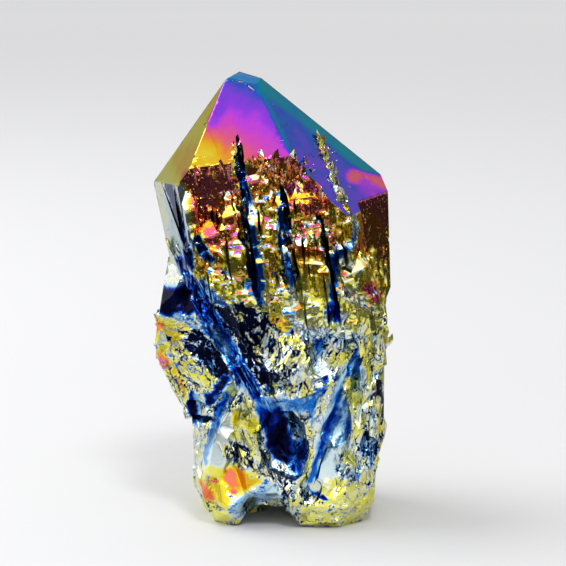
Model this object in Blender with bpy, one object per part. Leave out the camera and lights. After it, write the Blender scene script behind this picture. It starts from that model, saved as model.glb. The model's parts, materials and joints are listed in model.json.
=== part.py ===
"""Cathedral aura quartz: a quartz point in parallel growth, standing on its broken root.

The main crystal leans to the left. Smaller crystals parallel to it, the towers, climb its sides
in steps, and narrow grooves part them. Its root is broken rock: blocks, ridges and chipped
hollows, with two feet in front and a heel behind. All of it grew as one piece, so it is one
solid. Sizes are in metres, +Z is up, and the front faces -Y. The tables below are in
millimetres and degrees.
"""

import math
import random

import bmesh
import bpy
from mathutils import Matrix, Vector
from mathutils.bvhtree import BVHTree

NODE = "quartz_crystal"
MM = 0.001
REACH = 90.0
SIDES = 6
SIDE_ANGLE = 360.0 / SIDES

FILM_COLOUR = (0.42, 0.36, 0.30, 1.0)
FILM_METALLIC = 0.9
FILM_ROUGHNESS = 0.25

# The main crystal, in its own frame: w runs up its axis, u to the right and v to the back.
APEX = 66.0
LEAN = 7.8
AXIS_FOOT = (5.1, 0.0, 0.0)
FIRST_FACE = -6.2
SHOULDER = 46.0
ROOT = 12.0
# From the front face round to the right: (rise of the end face, its offset from the apex).
END_FACES = (
    (37.5, 0.0),
    (37.4, 0.0),
    (40.6, -0.9),
    (38.2, 0.0),
    (38.2, -0.3),
    (39.4, 1.1),
)
# The sides below them: (reach from the axis at the shoulder, rise).
SIDE_FACES = (
    (9.6, -5.0),
    (16.2, -5.0),
    (14.8, -5.0),
    (11.0, -5.0),
    (11.8, -4.0),
    (13.9, -3.0),
)
# Slanting cuts that take its sides in below, where the rock goes on: (point, azimuth, rise).
ROOT_CUTS = (
    ((15.2, 0.0, 29.0), 90, -32),
    ((-13.4, 0.0, 21.0), -90, -38),
)
# Small faces that blunt the tip: (point, azimuth, rise).
BLUNTINGS = (
    ((-1.6, -1.2, 63.6), 14, 63),
    ((-0.4, 0.0, 64.0), 110, 62),
)

# Towers: (side, along, reach, half width, top, foot). A top of FLUSH meets the end face above it.
FLUSH = 99.0
TOWER_RISE = 38.2
TOWER_DEPTH = 6.0
TOWER_GAP = 0.05
RIDGE_BACK = 1.7
RIDGE_SHARES = (0.05, 0.6)
FOOT_RISE = -40.0
# How far a tower's front and its end lean away from the main crystal's faces.
FRONT_LEANS = ((-4.0, 4.0), (-3.0, 2.0))
END_LEANS = ((-9.0, 9.0), (-5.0, 7.0))
TOWERS = (
    (0, -7.8, 11.0, 2.3, FLUSH, 40.5),
    (0, -3.4, 11.2, 1.5, 47.8, 41.4),
    (0, 0.2, 10.5, 0.8, 52.4, 45.4),
    (0, 2.5, 10.3, 1.2, 53.9, 44.4),
    (0, 5.6, 10.5, 1.6, FLUSH, 46.0),
    (0, 6.7, 11.3, 3.0, 49.3, 39.4),
    (0, 9.6, 11.6, 1.3, FLUSH, 39.0),
    (1, -2.4, 16.6, 1.9, FLUSH, 37.2),
    (1, 1.9, 17.0, 2.4, FLUSH, 31.4),
    (0, -8.3, 12.0, 1.6, 43.9, 38.0),
    (0, -3.8, 12.7, 1.4, 43.8, 37.2),
    (0, -0.4, 11.6, 1.0, 47.6, 43.0),
    (0, 1.4, 12.1, 1.3, 45.6, 38.0),
    (0, 6.1, 12.4, 2.3, 43.4, 37.0),
    (0, 11.7, 11.3, 1.8, 38.4, 33.6),
    (1, -0.6, 17.2, 1.5, 38.8, 32.0),
    (0, -6.5, 12.8, 1.2, 40.4, 34.2),
    (0, 0.6, 12.7, 1.2, 39.5, 32.0),
    (0, 6.5, 13.0, 2.4, 39.8, 32.4),
    (0, -2.8, 13.4, 1.4, 36.5, 30.0),
    (0, -5.0, 13.2, 1.1, 38.4, 32.6),
    (0, 11.6, 12.2, 1.6, 35.6, 30.4),
    (1, 0.2, 16.3, 2.0, 33.9, 26.6),
    (0, 5.6, 13.6, 2.1, 34.3, 27.5),
    (0, 9.0, 12.8, 1.1, 34.8, 28.6),
    (0, 2.4, 13.2, 1.1, 36.0, 29.0),
    (2, -3.0, 15.2, 2.4, FLUSH, 33.0),
    (2, 2.6, 15.0, 1.8, FLUSH, 33.0),
    (3, 4.2, 11.8, 1.6, FLUSH, 36.0),
    (3, -0.6, 12.2, 2.4, FLUSH, 30.0),
    (4, -3.6, 12.0, 2.0, FLUSH, 34.0),
)
# Rows of smaller towers on the sides away from the front:
# (side, reach, tops, feet below, span along it, count).
ROWS = (
    (2, 14.9, (28.0, 46.0), 9.0, (-1.0, 6.5), 9),
    (3, 11.2, (26.0, 46.0), 8.0, (-6.5, 6.5), 11),
    (4, 11.9, (29.0, 45.0), 7.0, (-6.0, 6.5), 8),
)
ROW_HALVES = (0.9, 2.3)
ROW_FEET = (0.7, 1.2)
ROW_SPREADS = (0.09, 0.14)

# Small steps among the front towers: (side, count, span along it, tops, reach at the highest, and
# how much further out they stand for each millimetre down).
STEPS = (
    (0, 46, (-9.4, 12.4), (31.0, 50.0), 11.0, 0.12),
    (1, 14, (-3.4, 2.4), (25.0, 41.0), 16.0, -0.05),
)
STEP_HALVES = (0.35, 1.1)
STEP_FEET = (3.0, 8.0)
STEP_PROUD = (-0.2, 0.8)

# Broken blocks, cut flat on every side: {name: ((point, azimuth, rise), ...)}.
BLOCKS = {
    "trunk": (
        ((14.8, 0, 22), 90, 1),
        ((15.6, 0, 9.0), 90, -22),
        ((12.6, -9.6, 25), 40, 1),
        ((3.0, -11.8, 20), -3, 3),
        ((-7.6, -8.4, 20), -48, -2),
        ((-11.2, 0, 20), -92, -9),
        ((-8.0, 9.0, 20), -140, -3),
        ((2.0, 11.6, 20), 176, -4),
        ((12.4, 8.4, 20), 130, 2),
        ((3.0, -11.6, 29.5), -4, 48),
        ((3.0, 10.6, 30), 178, 54),
        ((-9.0, 0, 31), -92, 50),
        ((15.6, 0, 33), 88, 56),
        ((12.6, 8.0, 32), 132, 50),
        ((3.0, 0, 44), 0, 90),
        ((-10.0, 0, 9), -100, -30),
        ((3.0, -9.0, 2.5), 0, -50),
        ((0, 10.0, 4), 180, -45),
        ((0, 0, 2.6), 0, -90),
    ),
    "heart": (
        ((3.0, -11.3, 32), -6, -2),
        ((-7.0, -9.0, 33), -50, 0),
        ((-8.4, 0, 34), -92, -8),
        ((12.6, -8.6, 30), 45, 0),
        ((12.4, 0, 30), 90, 0),
        ((0, 7.4, 30), 180, 0),
        ((8.0, 0, 41), 60, 50),
        ((3.0, 0, 43), 0, 90),
        ((3.0, 0, 12), 0, -90),
    ),
    "right_foot": (
        ((14.9, -2, 6), 88, -3),
        ((13.6, -9.4, 8), 45, 4),
        ((7.5, -12.4, 8), -2, 9),
        ((1.2, -9.5, 6), -62, 12),
        ((14.4, -4, 2.0), 82, -28),
        ((12.6, -9.4, 1.8), 44, -34),
        ((7.0, -12.2, 1.6), -6, -26),
        ((7.0, -11.3, 0.5), -2, -56),
        ((1.6, -7, 2.0), -75, -38),
        ((8, 6, 6), 170, 0),
        ((8, -4, 15), 0, 70),
        ((8, 0, -1), 0, -90),
    ),
    "left_foot": (
        ((-11.1, -3, 7), -88, -3),
        ((-9.6, -9.3, 8), -42, 10),
        ((-5.2, -11.6, 6), 12, 22),
        ((-3.4, -10.6, 3.4), 48, -20),
        ((-2.0, -9.0, 5), 72, -14),
        ((-9.9, -5, 3.0), -78, -22),
        ((-8.9, -8.6, 1.8), -44, -36),
        ((-5.6, -11.0, 1.3), 14, -34),
        ((-5.6, -10.4, 0.4), 8, -60),
        ((-5, 4, 8), 180, 0),
        ((-7, -4, 17), -30, 60),
        ((-6, 0, -1), 0, -90),
    ),
    "left_lobe": (
        ((-12.6, -6.5, 34.0), -28, 3),
        ((-14.4, -3.0, 34.4), -58, 31),
        ((-15.8, 0, 31), -90, 9),
        ((-16.8, 0, 24), -86, -4),
        ((-14.1, -3, 18.5), -76, -27),
        ((-12.0, -7.8, 22), -22, -10),
        ((-13.0, 5.2, 27), -160, 8),
        ((-12.0, 4.0, 19), -150, -35),
        ((-6.0, 0, 25), 90, 0),
        ((-13.0, 1.0, 36.6), 180, 60),
        ((-10.0, 0, 15.4), 0, -90),
    ),
    "heel": (
        ((14.8, 4, 8), 84, 0),
        ((-9.5, 6, 8), -110, -4),
        ((-2, 12.6, 10), 178, -3),
        ((9.0, 10.2, 8), 130, -6),
        ((-7.5, 11.0, 8), -145, 2),
        ((0, 11.6, 1.0), 180, -40),
        ((0, 2, 8), 0, 0),
        ((0, 9.0, 22), 180, 50),
        ((0, 0, -1), 0, -90),
        ((8.8, 9.4, 0.9), 122, -34),
    ),
}

# Spindles with flat facets: {name: (start, end, half width, half depth)}. Ridges stand out of
# the rock and hollows are cut into it.
RIDGE_FACETS = 14
HOLLOW_FACETS = 16
CHIP_FACETS = 9
FACET_TURNS = (-0.3, 0.3)
FACET_DEPTHS = (0.88, 1.0)
GOLDEN_TURN = math.pi * (3 - math.sqrt(5))
RIDGES = {
    "right_ridge": ((11.2, -11.2, 27.5), (3.6, -11.6, 4.5), 2.0, 1.5),
    "outer_ridge": ((13.3, -6.8, 27.0), (12.4, -8.4, 6.0), 2.2, 2.6),
    "left_ridge": ((-3.6, -9.6, 22.0), (-9.4, -9.8, 3.5), 2.0, 2.4),
    "dome": ((1.6, -11.0, 29.0), (4.8, -11.2, 18.6), 4.4, 3.4),
    "ledge": ((-2.2, -11.2, 18.7), (8.8, -12.0, 21.4), 1.3, 2.6),
    "knob": ((0.8, -11.4, 5.0), (4.9, -11.6, 6.2), 1.6, 1.8),
    "fibre_ridge": ((-12.2, -7.6, 41.5), (-3.4, -11.9, 26.0), 1.2, 1.5),
    "lobe_edge": ((-14.9, -2.0, 28.0), (-12.8, -5.4, 17.5), 1.9, 2.0),
    "shin": ((-4.6, -10.8, 16.5), (-1.2, -11.4, 8.0), 2.0, 1.8),
    "flank": ((14.2, -1.5, 30.0), (13.6, 3.0, 11.0), 2.8, 1.8),
    "bulge": ((14.4, -3.2, 18.0), (14.6, -1.4, 8.0), 2.6, 1.6),
    "calf": ((12.6, 5.0, 33.0), (11.6, 7.6, 6.0), 3.5, 3.0),
    "spine": ((-4.6, 9.6, 34.0), (3.8, 11.2, 5.0), 3.4, 2.6),
    "hip": ((-10.0, 4.4, 30.0), (-7.8, 7.6, 8.0), 2.8, 2.8),
}
HOLLOWS = {
    "pocket": ((1.2, -13.2, 17.6), (2.4, -12.6, 7.2), 3.5, 4.6),
    "long_groove": ((13.3, -12.6, 28.4), (4.5, -13.3, 3.2), 0.9, 2.0),
    "trough": ((13.6, -15.2, 25.0), (7.6, -15.6, 2.0), 3.2, 4.0),
    "lens": ((-4.6, -11.8, 21.6), (-10.4, -9.6, 13.2), 1.3, 2.6),
    "fibre_groove": ((-13.6, -8.0, 36.8), (-1.4, -12.8, 17.8), 1.3, 2.4),
    "recess": ((-3.4, -13.4, 30.0), (-1.2, -13.2, 22.8), 2.5, 2.8),
    "notch_top": ((-5.3, -9.6, 57.6), (-4.0, -11.0, 46.0), 0.75, 2.0),
    "notch_middle": ((-4.6, -11.0, 50.0), (-2.7, -11.4, 38.6), 0.65, 2.6),
    "notch_low": ((-3.3, -12.0, 41.8), (-1.9, -12.4, 32.6), 0.6, 2.4),
    "groove_top": ((0.9, -11.4, 51.6), (2.6, -11.8, 41.6), 0.5, 2.0),
    "groove_low": ((1.9, -12.6, 43.8), (4.4, -13.0, 31.0), 0.5, 2.2),
    "channel_top": ((6.2, -12.0, 45.6), (7.9, -12.6, 36.0), 0.6, 2.0),
    "channel_low": ((7.2, -13.2, 38.6), (9.4, -13.4, 28.6), 0.6, 2.4),
    "gash_top": ((5.4, -7.8, 56.4), (7.9, -9.8, 50.6), 0.4, 1.0),
    "gash_middle": ((7.0, -9.4, 52.8), (9.4, -11.4, 47.4), 0.6, 1.0),
    "gash_low": ((9.0, -11.0, 49.6), (10.9, -12.6, 44.6), 0.45, 1.2),
    "arch": ((-2.6, -13.0, -0.4), (-1.6, -2.0, -1.2), 3.6, 3.4),
    "pit": ((14.6, -10.6, 12.6), (13.6, -9.8, 10.6), 1.3, 1.8),
    "left_crack": ((-15.2, -3.2, 48.0), (-11.0, -9.0, 36.0), 0.35, 1.5),
    "back_scar": ((6.0, 14.6, 36.0), (-2.0, 14.4, 14.0), 4.2, 3.6),
    "right_scar": ((18.4, 4.0, 29.0), (18.2, -1.0, 16.0), 3.2, 2.6),
}

# Splinters and scars on the broken root: how many of both, over which heights, their half widths,
# and their lengths and depths as shares of those. Splinters near the left and right edges stay
# small. Each sinks into the rock, or stands off it, by a share of its width.
SEED = 7
CHIPS = 60
CHIP_HEIGHTS = (2.5, 34.0)
CHIP_LEANS = (-0.7, 0.7)
SPLINTER_SIZES = (0.6, 1.4)
EDGE_SIZES = (0.5, 0.8)
EDGE = 10.4
SPLINTER_LENGTHS = (1.2, 2.4)
SPLINTER_DEPTH = 0.8
SPLINTER_SINK = 0.5
SCAR_SIZES = (1.1, 2.4)
SCAR_LENGTHS = (1.2, 2.2)
SCAR_DEPTH = 0.6
SCAR_STAND_OFF = 0.25


def facing(azimuth, rise=0.0):
    """Outward unit normal. Azimuth 0 faces the front and 90 the right; rise is above level."""
    turn = math.radians(azimuth)
    tilt = math.radians(rise)
    level = math.cos(tilt)
    return Vector((math.sin(turn) * level, -math.cos(turn) * level, math.sin(tilt)))


def cut_solid(planes, centre):
    """A bmesh cube round the centre, cut by planes given as (point, outward normal)."""
    bm = bmesh.new()
    bmesh.ops.create_cube(bm, size=2 * REACH, matrix=Matrix.Translation(centre))
    for point, normal in planes:
        geometry = bm.verts[:] + bm.edges[:] + bm.faces[:]
        cut = bmesh.ops.bisect_plane(
            bm, geom=geometry, plane_co=point, plane_no=normal, clear_outer=True
        )
        rim = [e for e in cut["geom_cut"] if isinstance(e, bmesh.types.BMEdge)]
        if rim:
            bmesh.ops.holes_fill(bm, edges=rim)
    return bm


def make_object(name, bm, matrix=Matrix()):
    """An object in metres from a bmesh in millimetres."""
    bmesh.ops.triangulate(bm, faces=bm.faces[:])
    bmesh.ops.recalc_face_normals(bm, faces=bm.faces[:])
    mesh = bpy.data.meshes.new(name)
    bm.to_mesh(mesh)
    bm.free()
    mesh.transform(Matrix.Scale(MM, 4) @ matrix)
    return bpy.data.objects.new(name, mesh)


def crystal_frame():
    """The main crystal's frame: its foot and its lean."""
    return Matrix.Translation(AXIS_FOOT) @ Matrix.Rotation(-math.radians(LEAN), 4, "Y")


def side_azimuth(side):
    return FIRST_FACE + side * SIDE_ANGLE


def end_planes(lift):
    """The planes of the main crystal's end, raised by lift."""
    up = Vector((0, 0, lift))
    tip = Vector((0, 0, APEX))
    planes = []
    for side, (rise, offset) in enumerate(END_FACES):
        normal = facing(side_azimuth(side), rise)
        planes.append((tip + up + normal * offset, normal))
    planes += [(Vector(point) + up, facing(azimuth, rise)) for point, azimuth, rise in BLUNTINGS]
    return planes


def main_crystal():
    planes = [(Vector((0, 0, ROOT)), Vector((0, 0, -1)))] + end_planes(0)
    planes += [(Vector(point), facing(azimuth, rise)) for point, azimuth, rise in ROOT_CUTS]
    for side, (reach, rise) in enumerate(SIDE_FACES):
        azimuth = side_azimuth(side)
        shoulder = facing(azimuth) * reach + Vector((0, 0, SHOULDER))
        planes.append((shoulder, facing(azimuth, rise)))
    return make_object("main_crystal", cut_solid(planes, Vector()), crystal_frame())


def tower(name, side, along, reach, half, top, foot, lift, draw):
    """A small crystal on one side of the main one and parallel to it, with a ridged end."""
    azimuth = side_azimuth(side)
    out = facing(azimuth)
    right = facing(azimuth + 90)
    face = out * reach + right * along
    ridge = face - out * RIDGE_BACK
    ridge.z = top
    turn, tilt = (draw.uniform(*span) for span in FRONT_LEANS)
    end_turn, end_tilt = (draw.uniform(*span) for span in END_LEANS)
    planes = end_planes(lift)
    planes += [
        (face + Vector((0, 0, top)), facing(azimuth + turn, tilt)),
        (face - out * TOWER_DEPTH, -out),
        (ridge, facing(azimuth + end_turn, TOWER_RISE + end_tilt)),
        (ridge, facing(azimuth + 180, TOWER_RISE)),
        (face + Vector((0, 0, foot)), facing(azimuth, FOOT_RISE)),
    ]
    for hand in (-1, 1):
        turn = azimuth + hand * SIDE_ANGLE
        corner = face + right * hand * half
        inner = corner + (right * hand - out * 2) * half / 2
        shoulder = ridge + right * hand * half * draw.uniform(*RIDGE_SHARES)
        planes.append((corner, facing(turn)))
        planes.append((inner, facing(turn + hand * SIDE_ANGLE)))
        planes.append((shoulder, facing(turn, TOWER_RISE)))
    return make_object(name, cut_solid(planes, face), crystal_frame())


def front_steps(draw):
    """Small crystals between the front towers. The lower they stand, the further out they are."""
    made = []
    for side, count, span, tops, nearest, spread in STEPS:
        for number in range(count):
            top = draw.uniform(*tops)
            reach = nearest + (tops[1] - top) * spread + draw.uniform(*STEP_PROUD)
            along = draw.uniform(*span)
            half = draw.uniform(*STEP_HALVES)
            foot = top - draw.uniform(*STEP_FEET)
            name = f"step_{side}_{number:02d}"
            made.append(tower(name, side, along, reach, half, top, foot, TOWER_GAP, draw))
    return made


def row_towers(draw):
    """Small towers scattered over the sides that face away from the front."""
    made = []
    for side, nearest, tops, below, span, count in ROWS:
        for number in range(count):
            along = draw.uniform(*span)
            half = draw.uniform(*ROW_HALVES)
            top = draw.uniform(*tops)
            foot = top - below * draw.uniform(*ROW_FEET)
            reach = nearest + (tops[1] - top) * draw.uniform(*ROW_SPREADS)
            name = f"row_{side}_{number:02d}"
            made.append(tower(name, side, along, reach, half, top, foot, TOWER_GAP, draw))
    return made


def block(name, faces):
    planes = [(Vector(point), facing(azimuth, rise)) for point, azimuth, rise in faces]
    return make_object(name, cut_solid(planes, Vector()))


def spindle(name, start, end, half_width, half_depth, facets, draw):
    """A long stone from start to end, cut from planes that touch an ellipsoid."""
    start = Vector(start)
    end = Vector(end)
    middle = (start + end) / 2
    along = (end - start).normalized()
    out = Vector((middle.x / 2, middle.y, 0)).normalized()
    across = along.cross(out).normalized()
    out = across.cross(along)
    radii = (half_width, half_depth, (end - start).length / 2)
    planes = []
    for step in range(facets):
        level = 1 - (2 * step + 1) / facets
        turn = step * GOLDEN_TURN + draw.uniform(*FACET_TURNS)
        ring = math.sqrt(1 - level * level)
        n = (ring * math.cos(turn) / radii[0], ring * math.sin(turn) / radii[1], level / radii[2])
        length = math.sqrt(sum(c * c for c in n))
        normal = (across * n[0] + out * n[1] + along * n[2]) / length
        planes.append((middle + normal * draw.uniform(*FACET_DEPTHS) / length, normal))
    return make_object(name, cut_solid(planes, middle))


def coat(solid):
    """The metallic film over the whole crystal."""
    material = bpy.data.materials.new("aura_quartz")
    material.use_nodes = True
    film = material.node_tree.nodes["Principled BSDF"]
    film.inputs["Base Color"].default_value = FILM_COLOUR
    film.inputs["Metallic"].default_value = FILM_METALLIC
    film.inputs["Roughness"].default_value = FILM_ROUGHNESS
    solid.data.materials.append(material)


def join(solid, others, name, operation):
    """A Boolean of the solid with all of the others at once."""
    group = bpy.data.collections.new(name)
    bpy.context.scene.collection.children.link(group)
    for other in others:
        other.hide_render = True
        other.display_type = "WIRE"
        group.objects.link(other)
    boolean = solid.modifiers.new(name, "BOOLEAN")
    boolean.operation = operation
    boolean.operand_type = "COLLECTION"
    boolean.collection = group
    boolean.solver = "MANIFOLD"


def chips(solid, draw):
    """Splinters that stand on the broken root, and the flat scars of others that broke off."""
    tree = BVHTree.FromObject(solid, bpy.context.evaluated_depsgraph_get())
    grown = []
    broken = []
    for number in range(CHIPS):
        azimuth = draw.uniform(0, 360)
        height = draw.uniform(*CHIP_HEIGHTS)
        lean = Vector((draw.uniform(*CHIP_LEANS), draw.uniform(*CHIP_LEANS), 1)).normalized()
        sky = (facing(azimuth) * REACH + Vector((0, 0, height))) * MM
        hit, normal, _, _ = tree.ray_cast(sky, -facing(azimuth))
        if number % 2:
            size = draw.uniform(*(EDGE_SIZES if abs(hit.x) > EDGE * MM else SPLINTER_SIZES))
            spot = hit / MM - normal * size * SPLINTER_SINK
            half = lean * size * draw.uniform(*SPLINTER_LENGTHS)
            shape = (spot - half, spot + half, size, size * SPLINTER_DEPTH)
            grown.append(spindle(f"splinter_{number:02d}", *shape, CHIP_FACETS, draw))
        else:
            size = draw.uniform(*SCAR_SIZES)
            spot = hit / MM + normal * size * SCAR_STAND_OFF
            half = lean * size * draw.uniform(*SCAR_LENGTHS)
            shape = (spot - half, spot + half, size, size * SCAR_DEPTH)
            broken.append(spindle(f"scar_{number:02d}", *shape, CHIP_FACETS, draw))
    return grown, broken


def shell(start):
    """All vertices joined to this one by edges."""
    found = {start}
    rim = [start]
    while rim:
        vertex = rim.pop()
        for edge in vertex.link_edges:
            other = edge.other_vert(vertex)
            if other not in found:
                found.add(other)
                rim.append(other)
    return found


def fill_pores(bm):
    """Keep the outer shell. Any other is a sealed pore that the joined stones closed off."""
    left = set(bm.verts)
    shells = []
    while left:
        found = shell(next(iter(left)))
        left -= found
        shells.append(found)
    shells.sort(key=len)
    pores = [vertex for found in shells[:-1] for vertex in found]
    bmesh.ops.delete(bm, geom=pores, context="VERTS")


def set_down(bm):
    """Centre the solid over the origin, on the ground."""
    lows = Vector([min(v.co[axis] for v in bm.verts) for axis in range(3)])
    highs = Vector([max(v.co[axis] for v in bm.verts) for axis in range(3)])
    middle = (lows + highs) / 2
    bmesh.ops.translate(bm, verts=bm.verts[:], vec=(-middle.x, -middle.y, -lows.z))


def finish(solid):
    """Turn the joined and cut solid into one plain mesh."""
    bm = bmesh.new()
    bm.from_object(solid, bpy.context.evaluated_depsgraph_get())
    fill_pores(bm)
    set_down(bm)
    bm.to_mesh(solid.data)
    bm.free()
    solid.modifiers.clear()
    for group in list(bpy.data.collections):
        for operand in list(group.objects):
            bpy.data.objects.remove(operand)
        bpy.data.collections.remove(group)


def build():
    for old in list(bpy.data.objects):
        bpy.data.objects.remove(old)
    draw = random.Random(SEED)
    crystal = main_crystal()
    crystal.name = NODE
    coat(crystal)
    bpy.context.scene.collection.objects.link(crystal)
    grown = []
    for number, row in enumerate(TOWERS):
        grown.append(tower(f"tower_{number:02d}", *row, TOWER_GAP, draw))
    grown += front_steps(draw)
    grown += row_towers(draw)
    grown += [block(name, faces) for name, faces in BLOCKS.items()]
    grown += [spindle(name, *shape, RIDGE_FACETS, draw) for name, shape in RIDGES.items()]
    join(crystal, grown, "growth", "UNION")
    cut = [spindle(name, *shape, HOLLOW_FACETS, draw) for name, shape in HOLLOWS.items()]
    join(crystal, cut, "hollows", "DIFFERENCE")
    splinters, scars = chips(crystal, draw)
    join(crystal, splinters, "splinters", "UNION")
    floor = bmesh.new()
    bmesh.ops.create_cube(floor, size=2 * REACH, matrix=Matrix.Translation((0, 0, -REACH)))
    join(crystal, scars + [make_object("floor", floor)], "scars", "DIFFERENCE")
    finish(crystal)


build()
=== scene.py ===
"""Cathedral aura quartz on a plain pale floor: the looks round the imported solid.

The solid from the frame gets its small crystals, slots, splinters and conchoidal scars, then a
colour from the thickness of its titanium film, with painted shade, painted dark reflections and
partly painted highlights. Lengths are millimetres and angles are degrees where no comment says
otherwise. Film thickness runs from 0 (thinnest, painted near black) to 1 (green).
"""

import json
import math
import random
from contextlib import contextmanager
from typing import NamedTuple

import bmesh
import bpy
import numpy as np
from mathutils import Matrix, Vector, noise
from mathutils.bvhtree import BVHTree

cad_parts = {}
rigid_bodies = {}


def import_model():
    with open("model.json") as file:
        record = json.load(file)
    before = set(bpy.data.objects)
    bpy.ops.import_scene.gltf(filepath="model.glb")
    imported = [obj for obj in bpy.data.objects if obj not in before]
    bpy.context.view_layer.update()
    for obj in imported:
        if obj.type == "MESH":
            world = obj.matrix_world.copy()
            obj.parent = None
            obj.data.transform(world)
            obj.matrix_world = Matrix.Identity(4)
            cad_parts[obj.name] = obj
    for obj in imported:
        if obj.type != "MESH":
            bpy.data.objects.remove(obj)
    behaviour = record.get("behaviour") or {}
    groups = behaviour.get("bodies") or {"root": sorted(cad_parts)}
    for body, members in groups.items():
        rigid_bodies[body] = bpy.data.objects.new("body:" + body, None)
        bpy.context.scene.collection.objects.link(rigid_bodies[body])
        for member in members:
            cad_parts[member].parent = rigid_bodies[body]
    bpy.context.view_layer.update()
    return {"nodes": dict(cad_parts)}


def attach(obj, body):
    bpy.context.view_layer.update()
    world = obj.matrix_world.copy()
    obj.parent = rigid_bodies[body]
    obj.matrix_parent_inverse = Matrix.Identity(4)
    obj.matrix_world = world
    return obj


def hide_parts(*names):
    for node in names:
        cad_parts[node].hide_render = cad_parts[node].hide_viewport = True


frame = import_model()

NODE = "quartz_crystal"
MM = 0.001

# The main crystal: where its axis meets the ground, its lean, its first face and its end, with
# each end face's (rise, offset) and each small blunting face's (point, azimuth, rise).
AXIS_FOOT = Vector((4.98, 0.50, 0.0))
LEAN = 7.8
FIRST_FACE = -6.2
SIDE_ANGLE = 60.0
APEX = 66.0
END_FACES = (
    (37.5, 0.0),
    (37.4, 0.0),
    (40.6, -0.9),
    (38.2, 0.0),
    (38.2, -0.3),
    (39.4, 1.1),
)
BLUNTINGS = (
    ((-1.6, -1.2, 63.6), 14, 63),
    ((-0.4, 0.0, 64.0), 110, 62),
)

# The photograph's camera, which also tells where a pixel of it falls on the stone.
PHOTO_SIZE = 566
SENSOR = 36.0
LENS = 168.47
SHIFT = (0.0194, 0.0146)
CAMERA_RISE = 10
CAMERA_AIM = Vector((-0.122, 0.501, 32.0))
CAMERA_AWAY = 380

# The film's colours by its thickness. Its near-black thinnest end is painted shade and dark
# reflection.
FILM_COLOURS = (
    (0.00, (0.003, 0.003, 0.010)),
    (0.07, (0.003, 0.008, 0.07)),
    (0.15, (0.005, 0.03, 0.42)),
    (0.23, (0.02, 0.24, 0.80)),
    (0.31, (0.42, 0.68, 0.82)),
    (0.39, (0.86, 0.90, 0.80)),
    (0.46, (0.92, 0.92, 0.24)),
    (0.53, (0.92, 0.84, 0.06)),
    (0.60, (0.90, 0.50, 0.02)),
    (0.66, (0.92, 0.27, 0.05)),
    (0.72, (0.86, 0.12, 0.28)),
    (0.755, (0.74, 0.08, 0.60)),
    (0.79, (0.60, 0.07, 0.86)),
    (0.84, (0.28, 0.06, 0.84)),
    (0.90, (0.03, 0.10, 0.62)),
    (0.95, (0.0, 0.25, 0.42)),
    (1.00, (0.01, 0.36, 0.24)),
)
# Film on the six end faces and the two small ones: at the tip, per mm to the right, per mm up.
END_FILMS = (
    (0.975, 0.011, 0.0215),
    (0.930, 0.0, 0.0032),
    (0.80, -0.012, 0.004),
    (0.80, 0.006, 0.012),
    (0.70, 0.006, 0.010),
    (0.60, 0.002, 0.006),
)
BLUNT_FILMS = ((0.925, 0.0, 0.0), (0.95, 0.0, 0.0))
# Film on the rest of the front by height.
HEIGHT_FILMS = ((0.0, 0.47), (16.0, 0.45), (24.0, 0.46), (29.0, 0.48), (33.0, 0.53), (37.0, 0.60),
                (41.0, 0.67), (46.0, 0.705), (60.0, 0.715))

# Colour patches of the end faces. Each runs between two pixels of the photograph:
# (x, y, x, y, radius in mm, film, strength). The last one only marks the bevel and its film; the
# bevel gets painted shade over the highlight that it catches.
END_ZONES = {
    "violet_rim": (229, 92, 213, 122, 0.8, 0.865, 0.6),
    "yellow_corner": (190, 166, 203, 161, 2.8, 0.58, 1),
    "pink_rim": (187, 176, 214, 178, 0.7, 0.74, 0.8),
    "notch_rim": (226, 166, 236, 150, 0.8, 0.62, 0.7),
    "teal_edge": (266, 82, 374, 168, 1.2, 0.965, 0.9),
    "f3_red": (352, 176, 384, 184, 0.8, 0.70, 0.95),
    "f3_violet": (364, 186, 388, 200, 0.9, 0.82, 0.9),
    # Painted highlight: a line along the ridge between the two end faces.
    "ridge_highlight_a": (259, 90, 272, 113, 0.3, 0.94, 0.8),
    "ridge_highlight_b": (272, 113, 292, 155, 0.3, 0.94, 0.8),
    "ridge_highlight_c": (292, 155, 322, 193, 0.35, 0.925, 0.8),
    "left_bevel": (222, 82, 187, 172, 1.0, 0.86, 0),
}
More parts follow.
